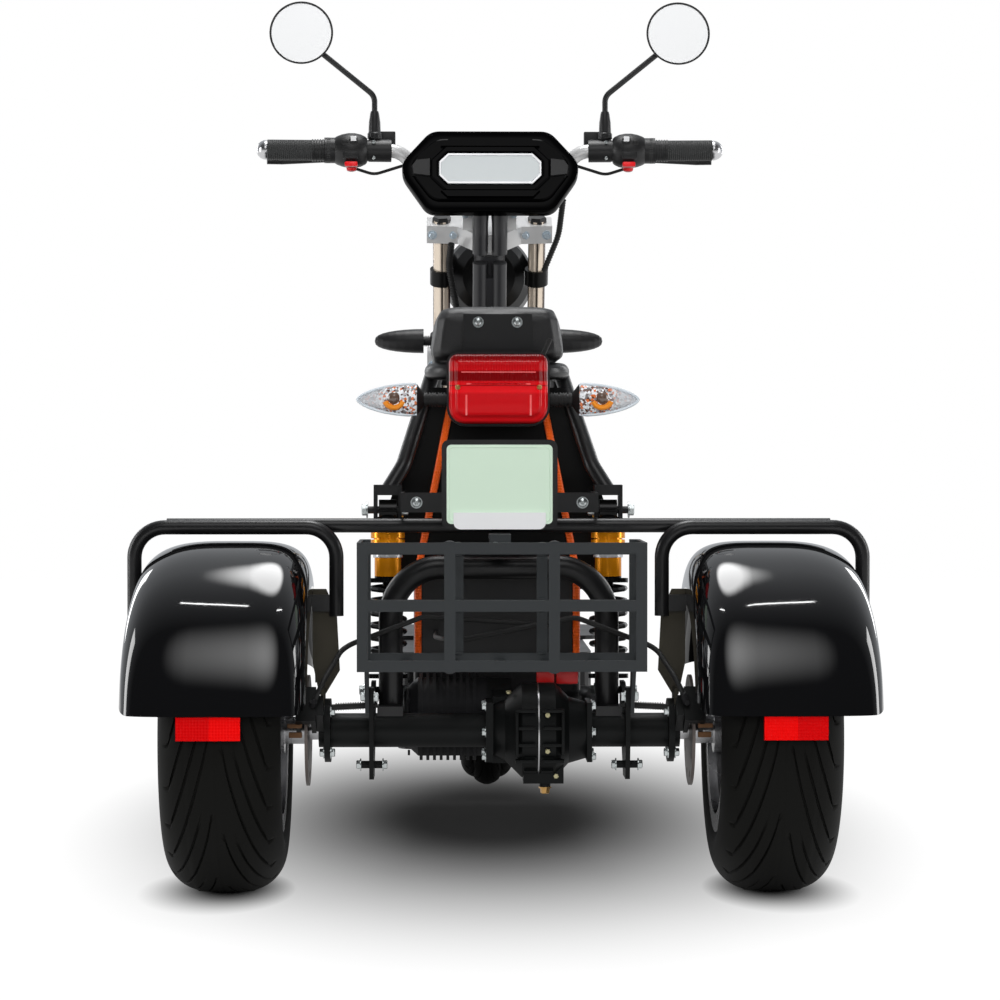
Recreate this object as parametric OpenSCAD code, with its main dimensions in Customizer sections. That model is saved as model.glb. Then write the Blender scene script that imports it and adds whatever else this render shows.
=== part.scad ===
// Three-wheeled electric scooter: two wide driven rear wheels, one steered front wheel.
// Forward is +Y, right is +X, up is +Z, and the wheels stand on Z = 0. Millimetres.

/* [Wheels] */
// Distance from the rear axle to the front axle
wheelbase = 1280; // [1250:1:1310]
// Distance of the rear axle behind the middle of the vehicle
rear_axle_back = 624; // [600:1:640]
// Outer diameter of a rear tyre
rear_tyre_d = 424; // [418:1:430]
// Width of a rear tyre
rear_tyre_w = 156; // [150:1:162]
// Distance from the middle plane to the middle of a rear tyre
rear_track_half = 358; // [355:1:361]
// Diameter of a rear rim at the tyre's bead
rear_rim_d = 254; // [246:1:262]
// Outer diameter of the front tyre
front_tyre_d = 430; // [424:1:436]
// Width of the front tyre
front_tyre_w = 90; // [80:1:92]
// Diameter of the front rim at the tyre's bead
front_rim_d = 254; // [246:1:262]
// Thickness of the brake discs
disc_t = 4; // [3:0.5:5]
// Diameter of a rear brake disc
rear_disc_d = 146; // [140:1:152]
// Diameter of the front brake disc
front_disc_d = 170; // [160:1:176]

/* [Rear axle] */
// Diameter of the axle tube
axle_tube_d = 45; // [42:1:48]
// Diameter of a wheel's stub shaft
stub_d = 25; // [20:1:28]
// Half the length of the axle, from end to end
axle_half = 238; // [234:1:240]
// Side distance of the axle plates that carry the shocks
axle_plate_x = 168; // [164:1:172]
// Thickness of the axle plates
axle_plate_t = 6; // [4:1:8]
// Side distance of the differential's parting plane
diff_x = 51; // [46:1:56]
// Diameter of the motor's barrel
motor_d = 118; // [110:1:124]
// Distance of the motor in front of the axle
motor_ahead = 92; // [90:1:96]
// Gap that a turning shaft has all round in its bore
run_gap = 0.3; // [0.2:0.1:0.5]

/* [Rear suspension] */
// Diameter of the swing arm's tubes
arm_d = 32; // [28:1:34]
// Side distance of the swing arm's tubes
arm_x = 144; // [140:1:146]
// Height of the top of the rear arch
arch_top_z = 442; // [430:1:450]
// Bend radius of the rear arch
arch_bend = 68; // [60:1:74]
// Side distance of the shocks
shock_x = 149; // [147:1:151]
// Height of a shock's lower eye
shock_low_z = 258; // [254:1:262]
// Height of a shock's upper eye
shock_high_z = 501; // [496:1:506]
// Wire diameter of the springs
spring_wire_d = 7; // [6:0.5:8]
// Mean diameter of the springs
spring_d = 46; // [45:0.5:48]

/* [Fenders and rail] */
// Outer radius of a rear fender about the axle
fender_r = 250; // [246:1:254]
// Half the width of a rear fender
fender_half_w = 112; // [108:1:114]
// Sheet thickness of the fenders
fender_t = 3; // [2:0.5:4]
// How square a rear fender's outer shoulder is
fender_outer_square = 3.2; // [2.6:0.1:5]
// How square a rear fender's inner shoulder is
fender_inner_square = 4; // [3:0.1:6]
// How deep a rear fender's side walls reach, from its crown
fender_depth = 85; // [80:1:90]
// Height of a rear fender's hind edge above the axle, as an angle
fender_hind_angle = 9; // [6:1:12]
// Diameter of the guard rail's tubes
rail_d = 19; // [16:1:22]
// Height of the guard rail's cross tube
rail_z = 482; // [480:1:488]
// Half the length of the cross tube
rail_half = 440; // [430:1:450]
// Distance of the cross tube in front of the axle
rail_ahead = 20; // [16:1:24]
// Side distance of a fender hoop's inner leg
hoop_inner_x = 215; // [212:1:218]
// Bend radius of the fender hoops
hoop_bend = 40; // [34:1:46]

/* [Basket] */
// Half the width of the basket
basket_half_w = 182; // [178:1:186]
// Height of the basket's floor
basket_low_z = 304; // [302:1:310]
// Height of the basket's upper edge
basket_high_z = 466; // [462:1:469]
// Distance of the basket's hind face behind the axle
basket_back = 210; // [200:1:216]
// Depth of the basket from hind face to front face
basket_depth = 150; // [140:1:156]
// Width of the basket's flat bars
basket_bar_w = 14; // [12:1:16]
// Thickness of the basket's flat bars
basket_bar_t = 5; // [4:0.5:6]

/* [Frame and seat] */
// Diameter of the twin down tubes
down_tube_d = 24; // [22:1:26]
// Side distance of the twin down tubes
down_tube_x = 15.5; // [14:0.5:17]
// Diameter of the seat rails
seat_rail_d = 24; // [22:1:26]
// Side distance of the seat rails
seat_rail_x = 88; // [84:1:90]
// Height of the seat rails
seat_rail_z = 690; // [684:1:696]
// Width of the seat
seat_w = 198; // [190:1:204]
// Length of the seat
seat_l = 540; // [500:1:560]
// Height of the seat cushion
seat_h = 75; // [60:1:80]
// Half the width of the battery box under the floor
deck_half_w = 140; // [130:1:146]
// Height of the footboard's upper face
footboard_z = 296; // [290:1:302]

/* [Lights and plate] */
// Width of the tail lamp
tail_lamp_w = 139; // [134:1:144]
// Height of the tail lamp
tail_lamp_h = 100; // [96:1:104]
// Height of the tail lamp's middle
tail_lamp_z = 664; // [662:1:667]
// Width of the number plate's holder
plate_w = 152; // [146:1:158]
// Height of the number plate's holder
plate_h = 117; // [112:1:120]
// Height of the number plate's middle
plate_z = 537; // [535:1:540]
// Distance between the plate bracket's two screw holes
plate_screw_pitch = 218; // [210:1:226]
// Length of an indicator's lens
indicator_l = 83; // [78:1:88]

/* [Steering] */
// Angle by which the steering axis leans back
caster = 25; // [24:0.5:26]
// Distance of the fork legs in front of the steering axis
fork_offset = 40; // [38:1:42]
// Side distance of the fork legs
fork_x = 77.7; // [77:0.1:79]
// Diameter of the fork's stanchions
stanchion_d = 28; // [26:1:30]
// Diameter of the fork's sliders
slider_d = 38; // [36:1:39]
// Diameter of the steering stem
stem_d = 25; // [22:1:26]
// Diameter of the front axle
front_axle_d = 15; // [12:1:16]
// Diameter of the handlebar
bar_d = 22; // [20:1:24]
// Height of the grips
grip_z = 1062; // [1056:1:1068]
// Diameter of the grips
grip_d = 33; // [31:1:35]
// Diameter of a mirror
mirror_d = 102; // [96:1:106]
// Width of the dashboard
dash_w = 281; // [272:1:288]
// Diameter of the headlamp's bowl
headlamp_d = 150; // [144:1:156]

/* [Hidden] */
$fn = 48;
seat_gap = 0.2;
// A bend is thicker than its bar by this, and the bar runs into it by this length
weld = 0.1;
weld_run = 1;
rear_y = -rear_axle_back;
rear_z = rear_tyre_d / 2;
front_y = wheelbase - rear_axle_back;
front_z = front_tyre_d / 2;
steer_y = front_y - fork_offset * cos(caster);
steer_z = front_z - fork_offset * sin(caster);
rear_disc_x = axle_half + 14;
front_disc_x = front_tyre_w / 2 + 3;
rail_y = rear_y + rail_ahead;
hoop_y = rail_y - rail_d - seat_gap;
hoop_z = rail_z - 2;
fender_x = rear_track_half + 1;
fender_crest = 7;
fender_in_x = fender_x - fender_half_w;
fender_out_x = fender_x + fender_half_w;
hoop_outer_x = fender_out_x + rail_d / 2 + 0.5;
diff_left_x = diff_x - 69;
diff_right_x = diff_x + 70;
motor_left_x = -120;
shock_low_y = rear_y + 86;
shock_high_y = rear_y + 100;
basket_y = rear_y - basket_back;
basket_front_y = basket_y + basket_depth;
seat_y = rear_y + 134;
seat_z = seat_rail_z + seat_rail_d / 2 + seat_gap;
frame_back_y = rear_y + 330;
deck_back_y = frame_back_y + 40;
deck_front_y = front_y - 306;
deck_low_z = 150;
deck_top_z = footboard_z - 6;
plate_y = rear_y - 30;
clamp_high = 785;
clamp_low = 555;
clamp_t = 30;

// Helpers

function unit(v) = v / norm(v);

// Points along an arc, from angle a0 to angle a1 in n steps
function arc(c, r, a0, a1, n) =
    [for (i = [0:n]) c + r * [cos(a0 + (a1 - a0) * i / n), sin(a0 + (a1 - a0) * i / n)]];

// Outline of a rectangle with rounded corners, centred on the origin; the lower two are larger by more
function round_rect(w, h, r, more = 0) =
    let (q = r + more)
    concat(
        arc([w / 2 - r, h / 2 - r], r, 0, 90, 5),
        arc([r - w / 2, h / 2 - r], r, 90, 180, 5),
        arc([q - w / 2, q - h / 2], q, 180, 270, 5),
        arc([w / 2 - q, q - h / 2], q, 270, 360, 5));

// Angle by which a path turns at its point i, and the length cut from each side there
function turn(p, i) = acos(unit(p[i] - p[i - 1]) * unit(p[i + 1] - p[i]));
function cut_back(p, i, bend) =
    i == 0 || i == len(p) - 1 ? 0 : bend * tan(turn(p, i) / 2);

module both_sides() {
    children();
    mirror([1, 0, 0]) children();
}

module along(a, b) {
    v = b - a;
    translate(a) rotate([0, acos(v.z / norm(v)), atan2(v.y, v.x)]) children();
}

module rod(a, b, d) {
    along(a, b) cylinder(h = norm(b - a), d = d);
}

// A cylinder along X from x0 to x1 at the place y, z
module cross_rod(x0, x1, y, z, d) {
    translate([x0, y, z]) rotate([0, 90, 0]) cylinder(h = x1 - x0, d = d);
}

module elbow(p, i, d, bend) {
    u = unit(p[i] - p[i - 1]);
    w = unit(p[i + 1] - p[i]);
    n = unit(w - (w * u) * u);
    k = cross(u, n);
    c = p[i] - u * cut_back(p, i, bend) + n * bend;
    multmatrix([
        [-n.x, u.x, k.x, c.x],
        [-n.y, u.y, k.y, c.y],
        [-n.z, u.z, k.z, c.z],
        [0, 0, 0, 1]])
        rotate_extrude(angle = turn(p, i)) translate([bend, 0]) circle(d = d + weld);
}

// How far a bar's straight stretch runs into its bend there
function run_in(p, i) = i == 0 || i == len(p) - 1 ? 0 : weld_run;

// A round bar through the points p, with every corner rounded by the bend radius
module bent_tube(p, d, bend) {
    for (i = [0:len(p) - 2]) {
        u = unit(p[i + 1] - p[i]);
        from = p[i] + u * (cut_back(p, i, bend) - run_in(p, i));
        to = p[i + 1] - u * (cut_back(p, i + 1, bend) - run_in(p, i + 1));
        rod(from, to, d);
    }
    if (len(p) > 2)
        for (i = [1:len(p) - 2]) elbow(p, i, d, bend);
}

// A flat piece with its outline in Y and Z, from x0 to x1
module side_plate(x0, x1, outline) {
    translate([x0, 0, 0]) rotate([90, 0, 90]) linear_extrude(x1 - x0) polygon(outline);
}

// A flat piece with its outline in X and Z, from y0 to y1
module cross_plate(y0, y1, outline) {
    translate([0, y1, 0]) rotate([90, 0, 0]) linear_extrude(y1 - y0) polygon(outline);
}

// A round bar swept along a coil about Z, from z = 0 to z = h
module coil(d, wire, h, turns, steps, sides) {
    n = turns * steps;
    ring = [for (i = [0:n]) for (s = [0:sides - 1])
        let (a = 360 * i / steps, b = 360 * s / sides, r = d / 2 + wire / 2 * cos(b))
        [r * cos(a), r * sin(a), wire / 2 + (h - wire) * i / n + wire / 2 * sin(b)]];
    skin = [for (i = [0:n - 1]) for (s = [0:sides - 1])
        let (t = (s + 1) % sides)
        [i * sides + s, i * sides + t, (i + 1) * sides + t, (i + 1) * sides + s]];
    first = [for (s = [sides - 1:-1:0]) s];
    last = [for (s = [0:sides - 1]) n * sides + s];
    polyhedron(ring, concat([first], skin, [last]));
}

// Places its children in the fork's frame: Z up the steering axis, Y forward
module in_fork() {
    translate([0, steer_y, steer_z]) rotate([caster, 0, 0]) children();
}

// Wheels, each about its own axle along X

// The tyre's bead: how far in from the tyre's side it starts, its height, and its slant over the rim's flange
bead_in = 14;
bead_h = 14;
bead_slant = 6;
// Shoulder radius of a tyre, and how far its tread drops from the crown to the shoulder
rear_shoulder = 52;
rear_crown = 2;
front_shoulder = 30;
front_crown = 12;

// Section of a tyre: first the radius, then the place across its width
function tyre_outline(d, w, rim_d, shoulder, drop) = concat(
    [[rim_d / 2, bead_in - w / 2], [rim_d / 2 + bead_h, bead_in - bead_slant - 4 - w / 2]],
    arc([d / 2 - drop - shoulder, shoulder - w / 2], shoulder, -90, -15, 4),
    [for (i = [-2:2])
        let (y = i * (w / 2 - shoulder) / 3)
        [d / 2 - drop * pow(y / (w / 2 - shoulder * 0.7), 2), y]],
    arc([d / 2 - drop - shoulder, w / 2 - shoulder], shoulder, 15, 90, 4),
    [[rim_d / 2 + bead_h, w / 2 - bead_in + bead_slant + 4], [rim_d / 2, w / 2 - bead_in]]);

module about_x() {
    rotate([0, 90, 0]) rotate_extrude() children();
}

module tyre(d, w, rim_d, shoulder, drop) {
    color([0.06, 0.06, 0.06]) about_x() polygon(tyre_outline(d, w, rim_d, shoulder, drop));
}

rim_wall = 12;
rim_flange = 8;
rim_flange_t = 3;
rim_holes = 5;
rim_hole_d = 56;
web_t = 18;

// Half section of a rim's barrel with its flanges, from its middle to one side: radius, then place across
function rim_side(r, in_r, half) = [
    [r, half - bead_slant - rim_flange_t], [r + rim_flange, half - rim_flange_t], [r + rim_flange, half],
    [in_r - 4, half], [in_r, half - 12]];

// Barrel with two flanges and a holed web whose middle lies at web_x
module rim(rim_d, w, web_x) {
    r = rim_d / 2 - seat_gap;
    half = w / 2 - bead_in + bead_slant + rim_flange_t;
    in_r = r - rim_wall;
    side = rim_side(r, in_r, half);
    about_x() polygon(concat(side, [for (i = [len(side) - 1:-1:0]) [side[i].x, -side[i].y]]));
    difference() {
        translate([web_x - web_t / 2, 0, 0]) rotate([0, 90, 0]) cylinder(h = web_t, r = in_r + 2);
        for (i = [0:rim_holes - 1])
            rotate([i * 360 / rim_holes, 0, 0])
                translate([web_x - web_t, 0, in_r * 0.67]) rotate([0, 90, 0])
                    cylinder(h = 2 * web_t, d = rim_hole_d);
    }
}

module brake_disc(d, bore_d) {
    difference() {
        rotate([0, 90, 0]) cylinder(h = disc_t, d = d);
        translate([-1, 0, 0]) rotate([0, 90, 0]) cylinder(h = disc_t + 2, d = bore_d);
        for (i = [0:8])
            rotate([i * 40, 0, 0]) translate([-1, 0, d / 2 - 13]) rotate([0, 90, 0])
                cylinder(h = disc_t + 2, d = 9);
    }
}

hub_d = 60;
stub_l = 62;
rear_web_x = 34;
rear_boss_x = rear_disc_x + disc_t / 2;
rear_hub_x = rear_track_half - 75;
boss_d = 36;

// The right rear wheel's rim, hub and stub shaft, in place
module rear_rim() {
    color("silver") {
        translate([rear_track_half, rear_y, rear_z]) rim(rear_rim_d, rear_tyre_w, rear_web_x);
        cross_rod(rear_hub_x, rear_track_half + rear_web_x + 22, rear_y, rear_z, hub_d);
        cross_rod(rear_boss_x, rear_hub_x + 1, rear_y, rear_z, boss_d);
        cross_rod(axle_half - stub_l, rear_boss_x + 1, rear_y, rear_z, stub_d);
    }
}

module rear_disc() {
    color([0.55, 0.55, 0.56])
        translate([rear_disc_x - disc_t / 2, rear_y, rear_z]) brake_disc(rear_disc_d, stub_d + 2 * seat_gap);
}

module rear_tyre() {
    translate([rear_track_half, rear_y, rear_z]) tyre(rear_tyre_d, rear_tyre_w, rear_rim_d, rear_shoulder, rear_crown);
}

module right_tyre() { rear_tyre(); }
module right_rim() { rear_rim(); }
module right_disc() { rear_disc(); }
module left_tyre() { mirror([1, 0, 0]) rear_tyre(); }
module left_rim() { mirror([1, 0, 0]) rear_rim(); }
module left_disc() { mirror([1, 0, 0]) rear_disc(); }

front_hub_half = front_disc_x - disc_t / 2;

module front_tyre() {
    translate([0, front_y, front_z]) tyre(front_tyre_d, front_tyre_w, front_rim_d, front_shoulder, front_crown);
}

module front_rim() {
    color("silver") difference() {
        union() {
            translate([0, front_y, front_z]) rim(front_rim_d, front_tyre_w, 0);
            cross_rod(-front_hub_half, front_hub_half, front_y, front_z, 48);
        }
        cross_rod(-front_tyre_w, front_tyre_w, front_y, front_z, front_axle_d + 2 * run_gap);
    }
}

module front_disc() {
    color([0.55, 0.55, 0.56])
        translate([-front_hub_half - disc_t, front_y, front_z]) brake_disc(front_disc_d, front_axle_d + 2 * run_gap);
}

// Rear axle and drive

flange_d = 84;
flange_t = 8;
flange_x = axle_half - 16;
eye_w = 24;
eye_d = 28;
eye_bolt_d = 10;
plate_over_eye = 12;

// Outline of an axle plate in Y and Z
axle_plate = [
    [rear_y - 32, rear_z - 62], [rear_y + 22, rear_z - 62], [shock_low_y + 20, shock_low_z - 20],
    [shock_low_y + 20, shock_low_z + plate_over_eye], [shock_low_y - 18, shock_low_z + plate_over_eye],
    [rear_y + 10, rear_z + 40],
    [rear_y - 22, rear_z + 59], [rear_y - 44, rear_z + 59], [rear_y - 44, rear_z - 12]];

module axle_end() {
    difference() {
        union() {
            cross_rod(diff_right_x, axle_half, rear_y, rear_z, axle_tube_d);
            cross_rod(flange_x, flange_x + flange_t, rear_y, rear_z, flange_d);
            side_plate(axle_plate_x - axle_plate_t / 2, axle_plate_x + axle_plate_t / 2, axle_plate);
        }
        cross_rod(axle_half - stub_l - 4, axle_half + 1, rear_y, rear_z, stub_d + 2 * run_gap);
    }
    cross_rod(shock_x - eye_w / 2 - 6, axle_plate_x + 12, shock_low_y, shock_low_z, eye_bolt_d);
    cross_rod(axle_plate_x - 14, axle_plate_x + 14, rear_y - 15, rear_z - 44, eye_bolt_d);
}

module axle_beam() {
    color([0.07, 0.07, 0.07]) {
        axle_end();
        mirror([1, 0, 0]) axle_end();
        cross_rod(-diff_right_x - 1, diff_left_x, rear_y, rear_z, axle_tube_d);
    }
}

// Half section of the differential housing: radius, then distance from its parting plane
diff_outline = [
    [0, diff_left_x - diff_x + 9], [33, diff_left_x - diff_x + 9], [40, -44], [56, -28], [62, -22],
    [62, 22], [56, 29], [44, 40], [37, diff_right_x - diff_x - 6], [0, diff_right_x - diff_x - 6]];
motor_y = rear_y + motor_ahead;
motor_z = rear_z + 10;
case_x1 = diff_x - 34;

module differential() {
    color([0.08, 0.08, 0.08]) {
        translate([diff_x, rear_y, rear_z]) about_x() polygon(diff_outline);
        translate([diff_left_x, rear_y - 39, rear_z - 39]) cube([9.5, 78, 78]);
        translate([diff_right_x - 6.5, rear_y - 39, rear_z - 39]) cube([6.5, 78, 78]);
        translate([diff_x - 20, rear_y - 30, rear_z - 68]) cube([53, 60, 50]);
        translate([diff_x + 9, rear_y - 12, rear_z - 74]) cylinder(h = 10, d = 15);
        cross_rod(diff_left_x + 2, case_x1, motor_y, motor_z, 104);
        side_plate(diff_left_x + 9, case_x1, [
            [rear_y, rear_z - 44], [motor_y, motor_z - 42], [motor_y, motor_z + 42], [rear_y, rear_z + 44]]);
    }
}

fins = 9;

module motor() {
    color([0.25, 0.25, 0.26]) {
        x1 = diff_left_x + 2;
        cross_rod(motor_left_x + 12, x1, motor_y, motor_z, motor_d - 12);
        translate([motor_left_x, motor_y, motor_z]) rotate([0, 90, 0])
            cylinder(h = 12, d1 = motor_d - 34, d2 = motor_d - 12);
        for (i = [0:fins - 1])
            cross_rod(motor_left_x + 14 + i * 9, motor_left_x + 18 + i * 9, motor_y, motor_z, motor_d);
    }
}

// Swing arm with the rear arch, and the shocks

pivot_y = frame_back_y;
pivot_z = rear_z + 18;
arm_end_z = rear_z + 6;
arch_y = rear_y + 38;
// The arm's seat on the axle tube: how far it reaches behind, below, and in front of and above the axle
arm_seat_back = 12;
arm_seat_low = 18;
arm_seat_h = 32;

module swing_arm() {
    color([0.07, 0.07, 0.07]) difference() {
        union() {
            bent_tube([
                [arm_x, rear_y, arm_end_z], [arm_x, pivot_y, pivot_z],
                [-arm_x, pivot_y, pivot_z], [-arm_x, rear_y, arm_end_z]], arm_d, 45);
            bent_tube([
                [arm_x, arch_y, arm_end_z], [arm_x, arch_y, arch_top_z - arm_d / 2],
                [-arm_x, arch_y, arch_top_z - arm_d / 2], [-arm_x, arch_y, arm_end_z]], arm_d, arch_bend);
            both_sides()
                translate([arm_x - arm_d / 2 - 1, rear_y - arm_seat_back, rear_z - arm_seat_low])
                    cube([arm_d + 2, arm_seat_back + arm_seat_h, arm_seat_low + arm_seat_h]);
        }
        cross_rod(-axle_half, axle_half, rear_y, rear_z, axle_tube_d + 2 * seat_gap);
    }
}

shock_low = [shock_x, shock_low_y, shock_low_z];
shock_high = [shock_x, shock_high_y, shock_high_z];
shock_l = norm(shock_high - shock_low);
spring_s0 = 22;
spring_s1 = 145;

// Places along a shock from its lower eye: start, end, diameter
shock_steps = [
    [10, 16, 22], [16, spring_s0, 54], [spring_s0 - 1, spring_s1 + 1, 14], [spring_s1, spring_s1 + 6, 54],
    [spring_s1 + 5, 180, 36], [179, 186, 40], [185, 196, 34], [195, 203, 46], [202, 206, 38],
    [205, 213, 46], [212, 234, 28]];

module shock() {
    difference() {
        union() {
            along(shock_low, shock_high)
                for (s = shock_steps) translate([0, 0, s[0]]) cylinder(h = s[1] - s[0], d = s[2]);
            for (e = [shock_low, shock_high])
                cross_rod(shock_x - eye_w / 2, shock_x + eye_w / 2, e.y, e.z, eye_d);
        }
        for (e = [shock_low, shock_high])
            cross_rod(shock_x - eye_w, shock_x + eye_w, e.y, e.z, eye_bolt_d + 2 * seat_gap);
    }
}

module shocks() {
    color([0.95, 0.5, 0.06]) both_sides() shock();
}

module shock_springs() {
    color([0.05, 0.05, 0.05]) both_sides()
        along(shock_low, shock_high) translate([0, 0, spring_s0])
            coil(spring_d, spring_wire_d, spring_s1 - spring_s0, 7, 12, 6);
}

// Guard rail, fenders and what they carry

module guard_rail() {
    color([0.08, 0.08, 0.08]) cross_rod(-rail_half, rail_half, rail_y, rail_z, rail_d);
}

hoop_inner_z = 363;
hoop_outer_z = 330;

module fender_hoops() {
    color([0.08, 0.08, 0.08]) both_sides() {
        bent_tube([
            [hoop_outer_x, hoop_y, hoop_outer_z], [hoop_outer_x, hoop_y, hoop_z],
            [hoop_inner_x, hoop_y, hoop_z], [hoop_inner_x, hoop_y, hoop_inner_z]], rail_d, hoop_bend);
        cross_rod(fender_out_x, hoop_outer_x, hoop_y, rear_z + fender_r - fender_depth + 10, 14);
        translate([hoop_inner_x, hoop_y - 3, rear_z + fender_r - fender_depth - 8])
            cube([fender_in_x - hoop_inner_x, 6, 22]);
    }
}

fender_low_r = fender_r - fender_depth;
fender_front_angle = 18;
fender_steps = 12;

// One shoulder of a rear fender's section, from its lower edge to its crest: radius, then distance from the crest
function shoulder(w, r, square) = [for (i = [0:fender_steps])
    let (a = 90 * i / fender_steps)
    [fender_low_r + (r - fender_low_r) * pow(sin(a), 2 / square), w * pow(cos(a), 2 / square)]];

// Section of a rear fender grown inwards by t: first the radius, then the place across its width
function fender_side(t) =
    let (
        outer = shoulder(fender_half_w + fender_crest - t, fender_r - t, fender_outer_square),
        inner = shoulder(fender_half_w - fender_crest - t, fender_r - t, fender_inner_square))
    concat(
        [for (i = [0:fender_steps]) [outer[i].x, outer[i].y - fender_crest]],
        [for (i = [fender_steps - 1:-1:0]) [inner[i].x, -inner[i].y - fender_crest]]);

module fenders() {
    inner = fender_side(fender_t);
    section = concat(fender_side(0), [for (i = [len(inner) - 1:-1:0]) inner[i]]);
    color([0.03, 0.03, 0.03]) both_sides()
        translate([fender_x, rear_y, rear_z]) rotate([0, 90, 0]) rotate([0, 0, 90 + fender_front_angle])
            rotate_extrude(angle = 180 - fender_front_angle - fender_hind_angle) polygon(section);
}

stay_y = hoop_y + rail_d / 2 + 2;
stay_t = 5;
stay_foot_z = rear_z + flange_d / 2 + 4;

module fender_stays() {
    x0 = flange_x + flange_t + seat_gap;
    color([0.16, 0.15, 0.12]) both_sides() {
        cross_plate(stay_y, stay_y + stay_t, [
            [x0, stay_foot_z], [x0 + 8, stay_foot_z], [fender_in_x, 300], [fender_in_x, 398], [fender_in_x - 18, 398],
            [hoop_inner_x, 366], [hoop_inner_x - 4, 290]]);
        translate([x0, rear_y - 20, rear_z + axle_tube_d / 2 + 4]) cube([5, 45, 30]);
    }
}

reflector = [80, 8, 31];
reflector_x = fender_x + 7;
// The fender's inner face curves in by this over a reflector's width
reflector_in = 3.4;

module reflectors() {
    color([0.75, 0.05, 0.05]) both_sides() {
        edge_z = rear_z + (fender_r - fender_t) * sin(fender_hind_angle);
        edge_y = rear_y - (fender_r - fender_t) * cos(fender_hind_angle);
        translate([reflector_x - reflector.x / 2, edge_y + reflector_in, edge_z - reflector.z + 1]) cube(reflector);
    }
}

basket_z = [basket_low_z, (basket_low_z + basket_high_z - basket_bar_w) / 2 + 1.5, basket_high_z - basket_bar_w];
basket_stay_x = axle_plate_x + axle_plate_t / 2;

basket_stay_t = 5;
basket_tab_w = 28;
// The front wall's upper bars lie lower than the hind wall's by this
basket_front_drop = 6;
basket_front_high_z = basket_high_z - basket_front_drop;
// Places of the uprights between the corners and of the floor's bars, as shares of the half width
hind_mids = [-0.36, 0.36];
front_mids = [-0.3, 0.3];
floor_bars = [-0.67, -0.33, 0, 0.33, 0.67];
carrier_half = max(basket_half_w, basket_stay_x + basket_stay_t);

module basket_upright(x, y, high_z) {
    translate([x, y, basket_low_z]) cube([basket_bar_w, basket_bar_t, high_z - basket_low_z]);
}

module basket() {
    w = 2 * basket_half_w;
    front_wall_y = basket_front_y - basket_bar_t;
    color([0.12, 0.12, 0.13]) {
        for (z = basket_z) {
            translate([-basket_half_w, basket_y, z]) cube([w, basket_bar_t, basket_bar_w]);
            for (x = [-basket_half_w, basket_half_w - basket_bar_t])
                translate([x, basket_y, z]) cube([basket_bar_t, basket_depth, basket_bar_w]);
        }
        for (i = [0:len(basket_z) - 1]) {
            half = i == 0 ? carrier_half : basket_half_w;
            drop = i == 0 ? 0 : basket_front_drop;
            translate([-half, front_wall_y, basket_z[i] - drop]) cube([2 * half, basket_bar_t, basket_bar_w]);
        }
        for (x = [-basket_half_w, basket_half_w - basket_bar_w]) {
            basket_upright(x, basket_y, basket_high_z);
            basket_upright(x, front_wall_y, basket_high_z);
        }
        for (k = hind_mids) basket_upright(k * basket_half_w - basket_bar_w / 2, basket_y, basket_high_z);
        for (k = front_mids) basket_upright(k * basket_half_w - basket_bar_w / 2, front_wall_y, basket_front_high_z);
        for (k = floor_bars)
            translate([k * basket_half_w - basket_bar_w / 2, basket_y, basket_low_z])
                cube([basket_bar_w, basket_depth, basket_bar_t]);
        both_sides() side_plate(basket_stay_x, basket_stay_x + basket_stay_t, [
            [basket_front_y - 30, basket_low_z], [basket_front_y, basket_low_z], [basket_front_y, basket_low_z + 30],
            [rear_y - 24, rear_z + 48], [rear_y - 24, rear_z + 26], [rear_y - 44, rear_z + 26]]);
        translate([-basket_tab_w / 2, front_wall_y, basket_front_high_z - 6])
            cube([basket_tab_w, basket_bar_t, basket_front_drop + 8]);
        translate([-basket_tab_w / 2, front_wall_y, basket_high_z])
            cube([basket_tab_w, rail_y + 6 - front_wall_y, rail_z - rail_d / 2 - seat_gap - basket_high_z]);
    }
}

caliper_gap = 5;
caliper_angle = -62;

// A caliper astride a disc whose faces lie at x0 and x1, its bridge just outside the disc's rim
module caliper(x0, x1, disc_d, wall) {
    difference() {
        translate([x0 - caliper_gap - wall, -24, disc_d / 2 - 26])
            cube([x1 - x0 + 2 * (caliper_gap + wall), 48, 26 + caliper_gap + 10]);
        translate([x0 - caliper_gap, -30, disc_d / 2 - 40])
            cube([x1 - x0 + 2 * caliper_gap, 60, 40 + caliper_gap]);
    }
}

module rear_calipers() {
    x0 = rear_disc_x - disc_t / 2;
    color([0.2, 0.2, 0.21]) both_sides() {
        translate([0, rear_y, rear_z]) rotate([-caliper_angle, 0, 0])
            caliper(x0, x0 + disc_t, rear_disc_d, 6);
        translate([0, rear_y, rear_z]) rotate([-caliper_angle, 0, 0])
            translate([flange_x + flange_t, -14, axle_tube_d / 2 + 6])
                cube([x0 - caliper_gap - flange_x - flange_t, 28, rear_disc_d / 2 - axle_tube_d / 2 + 4]);
    }
}

// Frame

function fork_point(x, y, z) = [
    x,
    steer_y + y * cos(caster) - z * sin(caster),
    steer_z + y * sin(caster) + z * cos(caster)];

head_tube_d = 50;
head_low = clamp_low + clamp_t + 7;
head_high = clamp_high - 7;
down_foot_y = deck_front_y + down_tube_d / 2 + seat_gap;
down_top = head_high - 6;

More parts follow.
